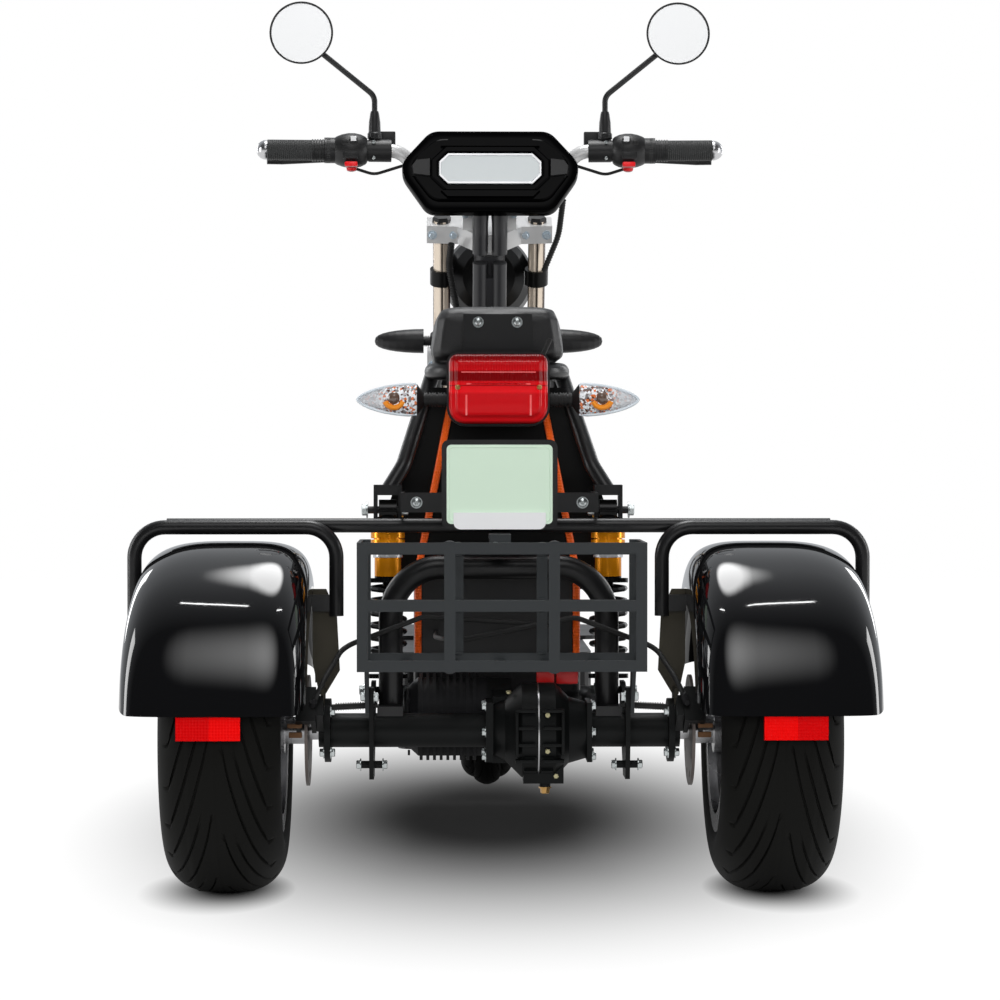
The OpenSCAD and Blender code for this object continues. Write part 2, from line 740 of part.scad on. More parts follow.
module main_tubes() {
    color([0.16, 0.16, 0.17]) difference() {
        union() {
            in_fork() {
                translate([0, 0, head_low]) cylinder(h = head_high - head_low, d = head_tube_d);
                translate([-8, -42, head_low + 20]) cube([16, 30, head_high - head_low - 50]);
            }
            both_sides() bent_tube([
                fork_point(down_tube_x, -33, down_top), fork_point(down_tube_x, -48, clamp_low - 20),
                [down_tube_x, down_foot_y, 440], [down_tube_x, down_foot_y, deck_low_z + 30]],
                down_tube_d, 70);
        }
        in_fork() translate([0, 0, head_low - 60])
            cylinder(h = head_high - head_low + 120, d = stem_d + 2 * run_gap);
    }
}

// A box on its floor z0, with upright edges rounded by r
module round_box(w, l, h, r) {
    linear_extrude(h) polygon(round_rect(w, l, r));
}

deck_l = deck_front_y - deck_back_y;
lug_x = 64;
lug_t = 10;
lug_reach = arm_d / 2 + 5;

module deck_box() {
    color([0.09, 0.09, 0.1]) {
        translate([0, (deck_front_y + deck_back_y) / 2, deck_low_z])
            round_box(2 * deck_half_w, deck_l, deck_top_z - deck_low_z, 24);
        both_sides() difference() {
            side_plate(lug_x, lug_x + lug_t, [
                [deck_back_y + 1, pivot_z - 44], [deck_back_y + 1, pivot_z + 44],
                [pivot_y - lug_reach, pivot_z + 24], [pivot_y - lug_reach, pivot_z - 24]]);
            cross_rod(0, arm_x, pivot_y, pivot_z, arm_d + 2 * run_gap);
        }
    }
}

footboard_half_w = 172;
footboard_back_y = deck_front_y - 310;

module footboard() {
    color([0.07, 0.07, 0.07])
        translate([0, (deck_front_y + footboard_back_y) / 2, deck_top_z])
            round_box(2 * footboard_half_w, deck_front_y - footboard_back_y, footboard_z - deck_top_z, 40);
}

loop_y = seat_y - 2 + seat_rail_d / 2 + seat_gap;
rail_front_y = seat_y + seat_l - 30;
post_back_y = deck_back_y + 22;
post_front_y = footboard_back_y - 24;
post_top_y = deck_back_y - 60;
post_d = seat_rail_d - 2;
box_half_w = 115;
box_back_y = rear_y + 172;
box_front_y = pivot_y - arm_d / 2 - 6;
box_low_z = 250;
box_high_z = 425;
clevis_t = 5;
clevis_gap = 2;
clevis_in_x = shock_x - eye_w / 2 - clevis_gap;
clevis_out_x = shock_x + eye_w / 2 + clevis_gap;

module seat_frame() {
    color([0.08, 0.08, 0.08]) {
        bent_tube([
            [seat_rail_x, rail_front_y, seat_rail_z], [seat_rail_x, loop_y, seat_rail_z],
            [-seat_rail_x, loop_y, seat_rail_z], [-seat_rail_x, rail_front_y, seat_rail_z]], seat_rail_d, 50);
        difference() {
            both_sides() {
                rod([seat_rail_x, post_top_y, seat_rail_z], [seat_rail_x, post_back_y, deck_top_z], post_d);
                rod([seat_rail_x, rail_front_y - 20, seat_rail_z], [seat_rail_x, post_front_y, deck_top_z], post_d);
            }
            translate([-seat_w, deck_back_y - seat_w, deck_top_z + seat_gap - post_d])
                cube([2 * seat_w, deck_l + 2 * seat_w, post_d]);
        }
        both_sides() {
            bent_tube([
                [seat_rail_x, loop_y + 60, seat_rail_z], [seat_rail_x + 40, shock_high_y + 14, shock_high_z + 60],
                [shock_x, shock_high_y, shock_high_z + 26]], post_d - 1, 40);
            for (x = [clevis_in_x - clevis_t, clevis_out_x])
                side_plate(x, x + clevis_t, [
                    [shock_high_y - 16, shock_high_z - 14], [shock_high_y + 16, shock_high_z - 14],
                    [shock_high_y + 20, shock_high_z + 34], [shock_high_y - 14, shock_high_z + 34]]);
            translate([clevis_in_x - clevis_t, shock_high_y - 14, shock_high_z + 20])
                cube([clevis_out_x - clevis_in_x + 2 * clevis_t, 32, 14]);
            cross_rod(clevis_in_x - clevis_t, clevis_out_x + clevis_t + 8, shock_high_y, shock_high_z, eye_bolt_d);
            translate([seat_rail_x - 6, box_front_y, box_high_z - 40])
                cube([12, post_back_y - box_front_y - 12, 15]);
        }
        cross_rod(-seat_rail_x, seat_rail_x, rail_front_y - 20, seat_rail_z, seat_rail_d - 4);
    }
}

seat_round = 26;

module seat() {
    color([0.05, 0.05, 0.05]) translate([0, seat_y + seat_l / 2, seat_z]) intersection() {
        round_box(seat_w, seat_l, seat_h, 40);
        translate([0, seat_l / 2, seat_h / 2]) rotate([90, 0, 0])
            linear_extrude(seat_l) polygon(round_rect(seat_w, seat_h, seat_round));
    }
}

module controller_box() {
    color([0.06, 0.06, 0.06])
        translate([0, (box_front_y + box_back_y) / 2, box_low_z])
            round_box(2 * box_half_w, box_front_y - box_back_y, box_high_z - box_low_z, 12);
}

// Tail: lamp, indicators, plate

bracket_t = 4;
bracket_y = seat_y - 2 - bracket_t;
tail_bracket_half_w = 47;

module tail_bracket() {
    color([0.06, 0.06, 0.06])
        translate([-tail_bracket_half_w, bracket_y, tail_lamp_z - 30])
            cube([2 * tail_bracket_half_w, bracket_t, seat_z + seat_h - tail_lamp_z + 20]);
}

lamp_base_l = 44;
lens_l = 30;
lamp_corner = 12;
lamp_low_more = 11;
lamp_back_y = bracket_y - lamp_base_l;

// An upright slab with rounded corners, its faces at y0 and y1, about the height z
module round_slab(w, h, r, y0, y1, z, more = 0) {
    translate([0, y1, z]) rotate([90, 0, 0]) linear_extrude(y1 - y0) polygon(round_rect(w, h, r, more));
}

module tail_lamp() {
    color([0.05, 0.04, 0.04])
        round_slab(tail_lamp_w, tail_lamp_h, lamp_corner + 3, lamp_back_y, bracket_y, tail_lamp_z, lamp_low_more);
}

module tail_lens() {
    color([0.75, 0.02, 0.05]) {
        lens_y = lamp_back_y - lens_l;
        round_slab(tail_lamp_w - 6, tail_lamp_h - 6, lamp_corner, lens_y + 8, lamp_back_y, tail_lamp_z, lamp_low_more);
        round_slab(tail_lamp_w - 16, tail_lamp_h - 16, lamp_corner, lens_y, lens_y + 9, tail_lamp_z, lamp_low_more);
    }
}

stalk_d = 15;
stalk_rib_d = 18;
stalk_ribs = 5;
indicator_z = tail_lamp_z - 14;
indicator_y = lamp_back_y + 18;
indicator_x = tail_lamp_w / 2 + 40;
leaf_h = 46;

// A ribbed rubber stalk along X from x0 to x1
module ribbed_stalk(x0, x1) {
    rotate([0, 90, 0]) {
        translate([0, 0, x0]) cylinder(h = x1 - x0, d = stalk_d);
        for (i = [0:stalk_ribs - 1])
            translate([0, 0, x0 + (i + 0.25) * (x1 - x0) / stalk_ribs])
                cylinder(h = (x1 - x0) / stalk_ribs / 2, d = stalk_rib_d);
    }
}

// Half outline of a leaf that is h across at its root and l long: radius, then length
function leaf(h, l) = [for (i = [0:8]) [h / 2 * pow(cos(i * 90 / 8), 0.75), l * sin(i * 90 / 8)]];

module leaf_body(h, l) {
    rotate([0, 90, 0]) rotate_extrude() polygon(concat([[0, 0]], leaf(h, l)));
}

module rear_indicators() {
    color([0.05, 0.05, 0.05]) both_sides() translate([0, indicator_y, indicator_z]) {
        ribbed_stalk(tail_lamp_w / 2, indicator_x - 8);
        translate([indicator_x - 9, 0, 0]) rotate([0, 90, 0]) cylinder(h = 9, d1 = stalk_rib_d, d2 = leaf_h - 4);
    }
}

module rear_indicator_lenses() {
    color([0.9, 0.9, 0.9, 0.6]) both_sides()
        translate([indicator_x, indicator_y, indicator_z]) leaf_body(leaf_h, indicator_l);
}

strip_half_w = clevis_in_x - clevis_t;
strip_h = 26;
strip_y = plate_y + 8;
strip_z = shock_high_z + 12;
strip_screw_d = 6.5;
plate_t = 2;

// Cross strip with the plate's two screw holes and the arms that hold it
module plate_bracket() {
    color([0.06, 0.06, 0.06]) {
        difference() {
            round_slab(2 * strip_half_w, strip_h, 4, strip_y, strip_y + bracket_t, strip_z);
            for (x = [-1, 1])
                translate([x * plate_screw_pitch / 2, strip_y - 1, strip_z]) rotate([-90, 0, 0])
                    cylinder(h = bracket_t + 2, d = strip_screw_d);
        }
        both_sides() translate([strip_half_w - bracket_t, strip_y, strip_z - strip_h / 2])
            cube([bracket_t, shock_high_y + 14 - strip_y, strip_h]);
    }
}

module plate_holder() {
    color([0.05, 0.05, 0.05]) difference() {
        round_slab(plate_w, plate_h, 10, plate_y, strip_y, plate_z);
        round_slab(plate_w - 12, plate_h - 12, 6, plate_y - 1, plate_y + plate_t + 1, plate_z);
    }
}

module number_plate() {
    color([0.82, 0.92, 0.82])
        round_slab(plate_w - 13, plate_h - 13, 6, plate_y + 1, plate_y + 1 + plate_t, plate_z);
}

// Cables

conduit_d = 10;
conduit_bend = 120;
conduit_top_x = 62;
conduit_top_z = 655;
conduit_y = box_back_y - conduit_d / 2 - seat_gap;

module power_conduits() {
    color([0.95, 0.4, 0.05]) both_sides() bent_tube([
        [conduit_top_x, conduit_y, conduit_top_z], [box_half_w - conduit_d / 2 - 1, conduit_y, box_high_z - 10],
        [box_half_w - conduit_d / 2 - 1, conduit_y, box_low_z + 50]], conduit_d, conduit_bend);
}

hose_d = 7;
hose_bend = 28;
// A hose's end at its caliper, the hump over the wheel's inner side, the crossing and the box
hose_end = [axle_half + 3.6, rear_y - 79.6, rear_z + 43.4];
hose_rise = [axle_half - 6, rear_y - 94, rear_z + 66];
hose_hump_x = axle_half - 32;
hose_hump_z = rear_z + 110;
hose_top_x = 100;
hose_top_z = rear_z + 150;
hose_cross_x = 60;
hose_box_x = box_half_w - 31;
// Each hose: its side, its place along Y where they cross, its height there
hoses = [[1, rear_y - 18, box_low_z + 80], [-1, rear_y - 2, box_low_z + 102]];

module brake_hoses() {
    color([0.04, 0.04, 0.04]) for (h = hoses)
        bent_tube([
            [h[0] * hose_end.x, hose_end.y, hose_end.z], [h[0] * hose_rise.x, hose_rise.y, hose_rise.z],
            [h[0] * hose_hump_x, h[1], hose_hump_z], [h[0] * hose_top_x, h[1], hose_top_z],
            [-h[0] * hose_cross_x, h[1], h[2]], [-h[0] * hose_box_x, box_back_y - 92, h[2]],
            [-h[0] * hose_box_x, box_back_y - seat_gap, h[2]]], hose_d, hose_bend);
}

// Steering: fork, bar, dashboard, lamp

fork_y = fork_offset;
slider_low = -25;
slider_high = 430;
clamp_back = 22;
clamp_back_half = 20;
clamp_outline = [
    [-fork_x - 24, fork_y - 20], [-fork_x - 24, fork_y + 20], [-fork_x + 22, fork_y + 24], [fork_x - 22, fork_y + 24],
    [fork_x + 24, fork_y + 20], [fork_x + 24, fork_y - 20], [fork_x - 26, fork_y - 24],
    [clamp_back_half, -clamp_back], [-clamp_back_half, -clamp_back], [26 - fork_x, fork_y - 24]];
bar_mid = fork_point(0, 18, clamp_high + clamp_t + 44);
riser_x = 32;
riser_w = 26;

module triple_clamps() {
    color([0.75, 0.75, 0.76]) difference() {
        union() {
            in_fork() {
                for (z = [clamp_low, clamp_high])
                    translate([0, 0, z]) linear_extrude(clamp_t) polygon(clamp_outline);
                translate([0, 0, clamp_low + 5]) cylinder(h = clamp_high + clamp_t - clamp_low - 12, d = stem_d);
                for (x = [-riser_x, riser_x])
                    translate([x - riser_w / 2 + 2, 4, clamp_high + clamp_t - 1]) cube([riser_w - 4, 28, 34]);
            }
            for (x = [-riser_x, riser_x])
                cross_rod(x - riser_w / 2, x + riser_w / 2, bar_mid.y, bar_mid.z, bar_d + 16);
        }
        in_fork() for (x = [-fork_x, fork_x])
            translate([x, fork_y, clamp_low - 1])
                cylinder(h = clamp_high + clamp_t, d = stanchion_d + 2 * seat_gap);
        cross_rod(-60, 60, bar_mid.y, bar_mid.z, bar_d + 2 * seat_gap);
    }
}

module fork_stanchions() {
    color([0.72, 0.68, 0.62]) in_fork() both_sides()
        translate([fork_x, fork_y, slider_high - 130]) cylinder(h = clamp_high + clamp_t + 3 - slider_high + 130, d = stanchion_d);
}

module fork_sliders() {
    color([0.1, 0.1, 0.1]) in_fork() {
        both_sides() difference() {
            union() {
                translate([fork_x, fork_y, slider_low]) cylinder(h = slider_high - slider_low, d = slider_d);
                translate([fork_x, fork_y, slider_high - 24]) cylinder(h = 24, d = slider_d + 5);
            }
            translate([fork_x, fork_y, slider_high - 130 - 2]) cylinder(h = 140, d = stanchion_d + 2 * seat_gap);
        }
        cross_rod(-fork_x, fork_x, fork_y, 0, front_axle_d);
    }
}

grip_y = bar_mid.y - 36;
grip_x0 = 258;
grip_x1 = 358;
bar_end_x = 375;
bar_outer = [grip_x1 - 2, grip_y, grip_z];
bar_knee = [140, grip_y + 14, grip_z];
bar_foot = [88, bar_mid.y, bar_mid.z];

function mirrored(p) = [-p.x, p.y, p.z];

module handlebar() {
    color([0.75, 0.75, 0.76]) bent_tube([
        mirrored(bar_outer), mirrored(bar_knee), mirrored(bar_foot), bar_foot, bar_knee, bar_outer], bar_d, 40);
}

// Places its children on the right bar's straight end: Z out along the bar from its knee
module on_bar() {
    along(bar_knee, bar_outer) children();
}

bar_reach = norm(bar_outer - bar_knee);
pod_s0 = bar_reach - (grip_x1 - 197);
pod_s1 = bar_reach - (grip_x1 - 254);

module grips() {
    color([0.04, 0.04, 0.04]) both_sides() on_bar() difference() {
        s0 = bar_reach - (grip_x1 - grip_x0);
        union() {
            translate([0, 0, s0]) cylinder(h = bar_reach - s0, d = grip_d);
            translate([0, 0, s0]) cylinder(h = 6, d = grip_d + 8);
        }
        translate([0, 0, s0 - 1]) cylinder(h = bar_reach, d = bar_d + 2 * seat_gap);
    }
}

module bar_ends() {
    color([0.8, 0.8, 0.8]) both_sides() on_bar() translate([0, 0, bar_reach + seat_gap])
        cylinder(h = bar_end_x - grip_x1, d1 = grip_d - 2, d2 = 14);
}

// A switch pod's barrel, the width of its flat switch faces, and its lower button
pod_d = 56;
pod_flat = 38;
pod_button_d = 14;
pod_button_l = 7;

module switch_pods() {
    color([0.05, 0.05, 0.05]) both_sides() on_bar() difference() {
        union() {
            translate([0, 0, pod_s0]) cylinder(h = pod_s1 - pod_s0 - 2, d = pod_d);
            translate([-pod_flat / 2, -pod_d / 2 - 1, pod_s0 + 4])
                cube([pod_flat, pod_d + 2, pod_s1 - pod_s0 - 14]);
            translate([pod_d / 2 - 6, 0, (pod_s0 + pod_s1) / 2]) rotate([0, 90, 0])
                cylinder(h = pod_button_l + 6, d = pod_button_d);
        }
        translate([0, 0, pod_s0 - 1]) cylinder(h = pod_s1 - pod_s0 + 2, d = bar_d + 2 * seat_gap);
    }
}

perch_w = 36;

// Lever perch with its fluid box, and the lever in front of the grip
module brake_levers() {
    color([0.1, 0.1, 0.1]) both_sides() {
        on_bar() difference() {
            union() {
                translate([0, 0, pod_s0 - perch_w - 1]) cylinder(h = perch_w, d = bar_d + 14);
                translate([-17, 6, pod_s0 - perch_w - 1]) cube([31, 34, perch_w - 4]);
            }
            translate([0, 0, pod_s0 - perch_w - 2]) cylinder(h = perch_w + 4, d = bar_d + 2 * seat_gap);
        }
        bent_tube([
            bar_knee + [34, 32, -4], bar_knee + [72, 48, -6], [bar_outer.x - 20, bar_outer.y + 62, bar_outer.z - 12],
            [bar_outer.x + 4, bar_outer.y + 58, bar_outer.z - 12]], 11, 18);
    }
}

mirror_x = 302;
mirror_z = 1250;
mirror_y = grip_y + 6;
mirror_tilt = 6;
stem_x = 185;
boot_z = grip_z + (bar_d + 14) / 2 + seat_gap;
mirror_rim = 3;
mirror_t = 14;

module at_mirror() {
    translate([mirror_x, mirror_y, mirror_z]) rotate([90 - mirror_tilt, 0, 0]) children();
}

module mirrors() {
    color([0.05, 0.05, 0.05]) both_sides() {
        at_mirror() difference() {
            translate([0, 0, -mirror_t]) cylinder(h = mirror_t, d1 = mirror_d - 20, d2 = mirror_d);
            translate([0, 0, -2]) cylinder(h = 4, d = mirror_d - 2 * mirror_rim);
        }
        bent_tube([
            [stem_x, mirror_y + 8, boot_z], [stem_x, mirror_y + 8, mirror_z - 100],
            [mirror_x - 28, mirror_y + 9, mirror_z - 28]], 9, 20);
        translate([stem_x, mirror_y + 8, boot_z]) cylinder(h = 42, d1 = 20, d2 = 13);
    }
}

module mirror_glass() {
    color([0.9, 0.92, 0.94]) both_sides() at_mirror()
        translate([0, 0, -2]) cylinder(h = 1.6, d = mirror_d - 2 * mirror_rim - 2 * seat_gap);
}

dash_tilt = 15;
dash_rod_y = -clamp_back - down_tube_d / 2 - seat_gap;
dash_y = bar_mid.y - 62;
dash_z = 1027;
dash_t = 26;
dash_top_half = 95;
dash_low_half = 100;
dash_half_h = 68;
screen_w = 164;
screen_h = 52;
screen_cut = 14;

// Outline of the dashboard shrunk by s: X, then up the dashboard's face
function dash_outline(s) = [
    [dash_w / 2 - s, -8], [dash_w / 2 - s, 16], [dash_top_half - s / 2, dash_half_h - s],
    [s / 2 - dash_top_half, dash_half_h - s], [s - dash_w / 2, 16], [s - dash_w / 2, -8],
    [s / 2 - dash_low_half, s - dash_half_h], [dash_low_half - s / 2, s - dash_half_h]];

function cut_rect(w, h, c) = [
    [w / 2, c - h / 2], [w / 2, h / 2 - c], [w / 2 - c, h / 2], [c - w / 2, h / 2],
    [-w / 2, h / 2 - c], [-w / 2, c - h / 2], [c - w / 2, -h / 2], [w / 2 - c, -h / 2]];

// Places its children on the dashboard's face: X right, Y up the face, Z towards the rider
module on_dash() {
    translate([0, dash_y, dash_z]) rotate([90 - dash_tilt, 0, 0]) children();
}

module dash_housing() {
    color([0.04, 0.04, 0.04]) {
        on_dash() difference() {
            union() {
                translate([0, 0, -dash_t]) linear_extrude(dash_t) polygon(dash_outline(0));
                linear_extrude(6) polygon(dash_outline(16));
                linear_extrude(11) polygon(cut_rect(screen_w + 34, screen_h + 30, screen_cut + 10));
            }
            translate([0, 0, 8]) linear_extrude(10) polygon(cut_rect(screen_w, screen_h, screen_cut));
        }
        both_sides() bent_tube([
            fork_point(down_tube_x, dash_rod_y, clamp_high + 4),
            fork_point(down_tube_x, dash_rod_y, clamp_high + clamp_t + 6),
            [down_tube_x, dash_y + 18, dash_z - 40]], down_tube_d, 30);
    }
}

module dash_screen() {
    color([0.62, 0.65, 0.66]) on_dash() translate([0, 0, 8])
        linear_extrude(2) polygon(cut_rect(screen_w - 1, screen_h - 1, screen_cut));
}

lamp_z = 868;
lamp_y = fork_point(0, fork_y, (lamp_z - front_z) / cos(caster)).y;
lamp_face_y = lamp_y + 112;

// Half section of the headlamp's bowl: radius, then distance behind its face
bowl = [
    [0, 0], [headlamp_d / 2 - 4, 0], [headlamp_d / 2, 6], [headlamp_d / 2, 18], [headlamp_d / 2 - 5, 44],
    [headlamp_d / 2 - 16, 66], [headlamp_d / 2 - 32, 84], [0, 92]];
ear_s = (lamp_z - front_z) / cos(caster) - 14;

module headlamp() {
    color([0.05, 0.05, 0.05]) {
        translate([0, lamp_face_y, lamp_z]) rotate([90, 0, 0]) rotate_extrude() polygon(bowl);
        both_sides() in_fork() difference() {
            union() {
                translate([fork_x, fork_y, ear_s]) cylinder(h = 26, d = stanchion_d + 10);
                translate([fork_x - 8, fork_y, ear_s]) cube([8, 95, 26]);
            }
            translate([fork_x, fork_y, ear_s - 1]) cylinder(h = 30, d = stanchion_d + 2 * seat_gap);
        }
    }
}

module headlamp_lens() {
    color([0.9, 0.93, 0.95, 0.7]) translate([0, lamp_face_y + 8, lamp_z]) rotate([90, 0, 0])
        cylinder(h = 8, d1 = headlamp_d - 40, d2 = headlamp_d - 12);
}

front_leaf_s = 604;
front_leaf = fork_point(fork_x, fork_y, front_leaf_s);

module front_indicators() {
    color([0.04, 0.04, 0.04]) both_sides() {
        in_fork() difference() {
            translate([fork_x, fork_y, front_leaf_s - 12]) cylinder(h = 24, d = stanchion_d + 10);
            translate([fork_x, fork_y, front_leaf_s - 13]) cylinder(h = 26, d = stanchion_d + 2 * seat_gap);
        }
        translate([0, front_leaf.y, front_leaf.z]) {
            ribbed_stalk(fork_x + stanchion_d / 2 + 3, fork_x + stanchion_d / 2 + 18);
            translate([fork_x + stanchion_d / 2 + 16, 0, 0]) leaf_body(40, indicator_l - 2);
        }
    }
}

front_fender_r = front_tyre_d / 2 + 13;
front_fender_half_w = 55;

function front_fender_side(t) = concat(
    [[front_fender_r - 44, t - front_fender_half_w]],
    arc([front_fender_r - 24, 24 - front_fender_half_w], 24 - t, -90, 0, 4),
    arc([front_fender_r - 24, front_fender_half_w - 24], 24 - t, 0, 90, 4),
    [[front_fender_r - 44, front_fender_half_w - t]]);

module front_fender() {
    inner = front_fender_side(2.5);
    section = concat(front_fender_side(0), [for (i = [len(inner) - 1:-1:0]) inner[i]]);
    color([0.03, 0.03, 0.03]) {
        translate([0, front_y, front_z]) rotate([0, 90, 0]) rotate([0, 0, 90 + 30])
            rotate_extrude(angle = 180 - 30 - 22) polygon(section);
        in_fork() both_sides() difference() {
            cross_rod(front_fender_half_w - 1, fork_x - 4, fork_y, front_fender_r - 26, 14);
            translate([fork_x, fork_y, slider_low]) cylinder(h = slider_high, d = slider_d + 2 * seat_gap);
        }
    }
}

module front_caliper() {
    x1 = -front_hub_half;
    x0 = x1 - disc_t;
    color([0.2, 0.2, 0.21]) {
        translate([0, front_y, front_z]) rotate([72, 0, 0]) caliper(x0, x1, front_disc_d, 6);
        difference() {
            in_fork() translate([x0 - caliper_gap - 18, fork_y - 66, 34]) cube([18, 66, 34]);
            in_fork() translate([-fork_x, fork_y, slider_low]) cylinder(h = slider_high, d = slider_d + 2 * seat_gap);
        }
    }
}

main_tubes();
deck_box();
footboard();
seat_frame();
seat();
controller_box();
tail_bracket();
tail_lamp();
tail_lens();
rear_indicators();
rear_indicator_lenses();
plate_bracket();
plate_holder();
number_plate();
axle_beam();
differential();
motor();
swing_arm();
shocks();
shock_springs();
guard_rail();
fender_hoops();
fenders();
fender_stays();
reflectors();
basket();
rear_calipers();
power_conduits();
brake_hoses();
triple_clamps();
fork_stanchions();
fork_sliders();
handlebar();
grips();
bar_ends();
switch_pods();
brake_levers();
mirrors();
mirror_glass();
dash_housing();
dash_screen();
headlamp();
headlamp_lens();
front_indicators();
front_fender();
front_caliper();
front_tyre();
front_rim();
front_disc();
left_tyre();
left_rim();
left_disc();
right_tyre();
right_rim();
right_disc();
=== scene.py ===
"""Looks of the three-wheeled electric scooter: finishes, tread, seat, lamps and small fittings."""

import math
from functools import reduce

import bmesh
import bpy
from mathutils import Matrix, Vector


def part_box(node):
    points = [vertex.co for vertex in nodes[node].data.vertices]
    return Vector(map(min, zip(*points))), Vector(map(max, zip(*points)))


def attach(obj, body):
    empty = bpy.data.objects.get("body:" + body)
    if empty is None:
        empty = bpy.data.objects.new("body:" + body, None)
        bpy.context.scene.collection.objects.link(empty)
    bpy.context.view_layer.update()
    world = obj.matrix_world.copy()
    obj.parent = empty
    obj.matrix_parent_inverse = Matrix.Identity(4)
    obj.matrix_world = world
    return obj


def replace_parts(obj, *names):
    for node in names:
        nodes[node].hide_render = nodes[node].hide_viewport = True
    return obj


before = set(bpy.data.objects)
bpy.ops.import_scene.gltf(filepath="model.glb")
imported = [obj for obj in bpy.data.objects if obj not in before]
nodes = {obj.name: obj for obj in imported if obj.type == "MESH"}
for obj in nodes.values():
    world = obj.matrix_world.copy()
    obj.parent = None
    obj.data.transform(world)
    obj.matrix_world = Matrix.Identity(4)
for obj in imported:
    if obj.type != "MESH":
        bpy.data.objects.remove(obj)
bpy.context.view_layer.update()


def middle(name):
    lo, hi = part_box(name)
    return (lo + hi) / 2


# Places taken from the frame, in metres
REAR_X, REAR_Y, REAR_Z = middle("right_tyre")
FRONT_Y, FRONT_Z = middle("front_tyre").yz


# Camera and studio

CAMERA_BACK = 4.0
CAMERA_X = -0.069
CAMERA_Z = 0.582
FOCAL_PX = 3030
IMAGE_PX = 1000
SENSOR_MM = 36
# Where the camera's level line of sight meets the picture
HORIZON_PX = (447, 450)
WHITE = (1, 1, 1, 1)
# Light from all round on dull surfaces
ROOM_LIGHT = 0.2
# The room in reflections: its tint, then the Y directions between which it brightens, from behind the camera
# to behind the object, and its levels there
ROOM_TINT = (0.93, 0.96, 1, 1)
ROOM_DEPTH = (-0.35, 0.45, 0.05, 0.6)
# Where a softened lamp's light ends, as a share of its half width
LAMP_END = 1.05
FLOOR_HALF = 9
# Dark floor colour, which shows inside the ovals as painted shadow
FLOOR_GREY = (0.06, 0.06, 0.06, 1)
# Ovals of painted shadow on the floor under the vehicle and round the rear tyres: middle, then half width and half
# length
PAINTED_SHADOW_OVALS = (((0, 0.18), (0.55, 1.22)), ((-REAR_X, -0.60), (0.11, 0.225)), ((REAR_X, -0.60), (0.11, 0.225)))
# Shares of an oval's half widths between which its painted shadow fades
PAINTED_SHADOW_FADE = (0.2, 1.35)


def add_node(tree, kind, inputs=(), **settings):
    """Adds a shader node: inputs gives sockets a value or the output that feeds them, settings its properties."""
    node = tree.nodes.new("ShaderNode" + kind)
    for key, value in settings.items():
        setattr(node, key, value)
    for socket, value in dict(inputs).items():
        if isinstance(value, bpy.types.NodeSocket):
            tree.links.new(value, node.inputs[socket])
        else:
            node.inputs[socket].default_value = value
    return node


def find_node(tree, kind):
    return next(x for x in tree.nodes if x.type == kind)


def combine(tree, operation, *values):
    return add_node(tree, "Math", dict(enumerate(values)), operation=operation).outputs[0]


def span(tree, value, low, high, to_low=0.0, to_high=1.0, smoothed=False):
    """Maps a value from one range to another."""
    return add_node(tree, "MapRange", {
        "Value": value, "From Min": low, "From Max": high, "To Min": to_low, "To Max": to_high,
    }, interpolation_type="SMOOTHSTEP" if smoothed else "LINEAR").outputs[0]


def reach_from(tree, place, scale, shift):
    """How far a place lies from the middle once it is scaled and shifted."""
    shaped = add_node(tree, "VectorMath", {0: place, 1: scale, 2: shift}, operation="MULTIPLY_ADD")
    return add_node(tree, "VectorMath", {0: shaped.outputs[0]}, operation="LENGTH").outputs["Value"]


def empty_tree(owner):
    owner.use_nodes = True
    owner.node_tree.nodes.clear()
    return owner.node_tree


def make_camera():
    data = bpy.data.cameras.new("camera")
    data.sensor_width = SENSOR_MM
    data.lens = FOCAL_PX * data.sensor_width / IMAGE_PX
    cam = bpy.data.objects.new("camera", data)
    bpy.context.collection.objects.link(cam)
    cam.location = (CAMERA_X, REAR_Y - CAMERA_BACK, CAMERA_Z)
    right, down = [math.atan((IMAGE_PX / 2 - at) / FOCAL_PX) for at in HORIZON_PX]
    cam.rotation_euler = (math.pi / 2 - down, 0, -right)
    bpy.context.scene.camera = cam


def area_lamp(name, place, target, size, watts, size_y):
    data = bpy.data.lights.new(name, "AREA")
    data.shape = "RECTANGLE"
    data.size, data.size_y = size, size_y
    data.energy = watts
    lamp = bpy.data.objects.new(name, data)
    bpy.context.collection.objects.link(lamp)
    lamp.location = place
    lamp.rotation_euler = (Vector(target) - Vector(place)).to_track_quat("-Z", "Y").to_euler()
    return lamp


def soften(lamp, whole, level):
    """Fades a lamp towards its edges, so that its reflection has no hard outline: whole is the share at full level."""
    lamp.data.use_nodes = True
    tree = lamp.data.node_tree
    place = add_node(tree, "NewGeometry").outputs["Parametric"]
    reach = reach_from(tree, place, (2, 2, 0), (-1, -1, 0))
    fade = span(tree, reach, whole, LAMP_END, level, 0, smoothed=True)
    tree.links.new(fade, find_node(tree, "EMISSION").inputs["Strength"])


def make_world():
    """White backdrop for camera and glass, a dimmer room for reflections, and soft light all round."""
    world = bpy.data.worlds.new("studio")
    bpy.context.scene.world = world
    tree = empty_tree(world)
    path = add_node(tree, "LightPath").outputs
    coords = add_node(tree, "TexCoord").outputs["Generated"]
    parts = add_node(tree, "SeparateXYZ", {0: coords}).outputs
    light, room, seen = [
        add_node(tree, "Background", {"Color": color, "Strength": strength}).outputs[0] for color, strength in (
            (WHITE, ROOM_LIGHT), (ROOM_TINT, span(tree, parts["Y"], *ROOM_DEPTH)), (WHITE, 1.0))]
    glossy = add_node(tree, "MixShader", {0: path["Is Glossy Ray"], 1: light, 2: room}).outputs[0]
    direct = combine(tree, "MAXIMUM", path["Is Camera Ray"], path["Is Transmission Ray"])
    view = add_node(tree, "MixShader", {0: direct, 1: glossy, 2: seen}).outputs[0]
    add_node(tree, "OutputWorld", {"Surface": view})


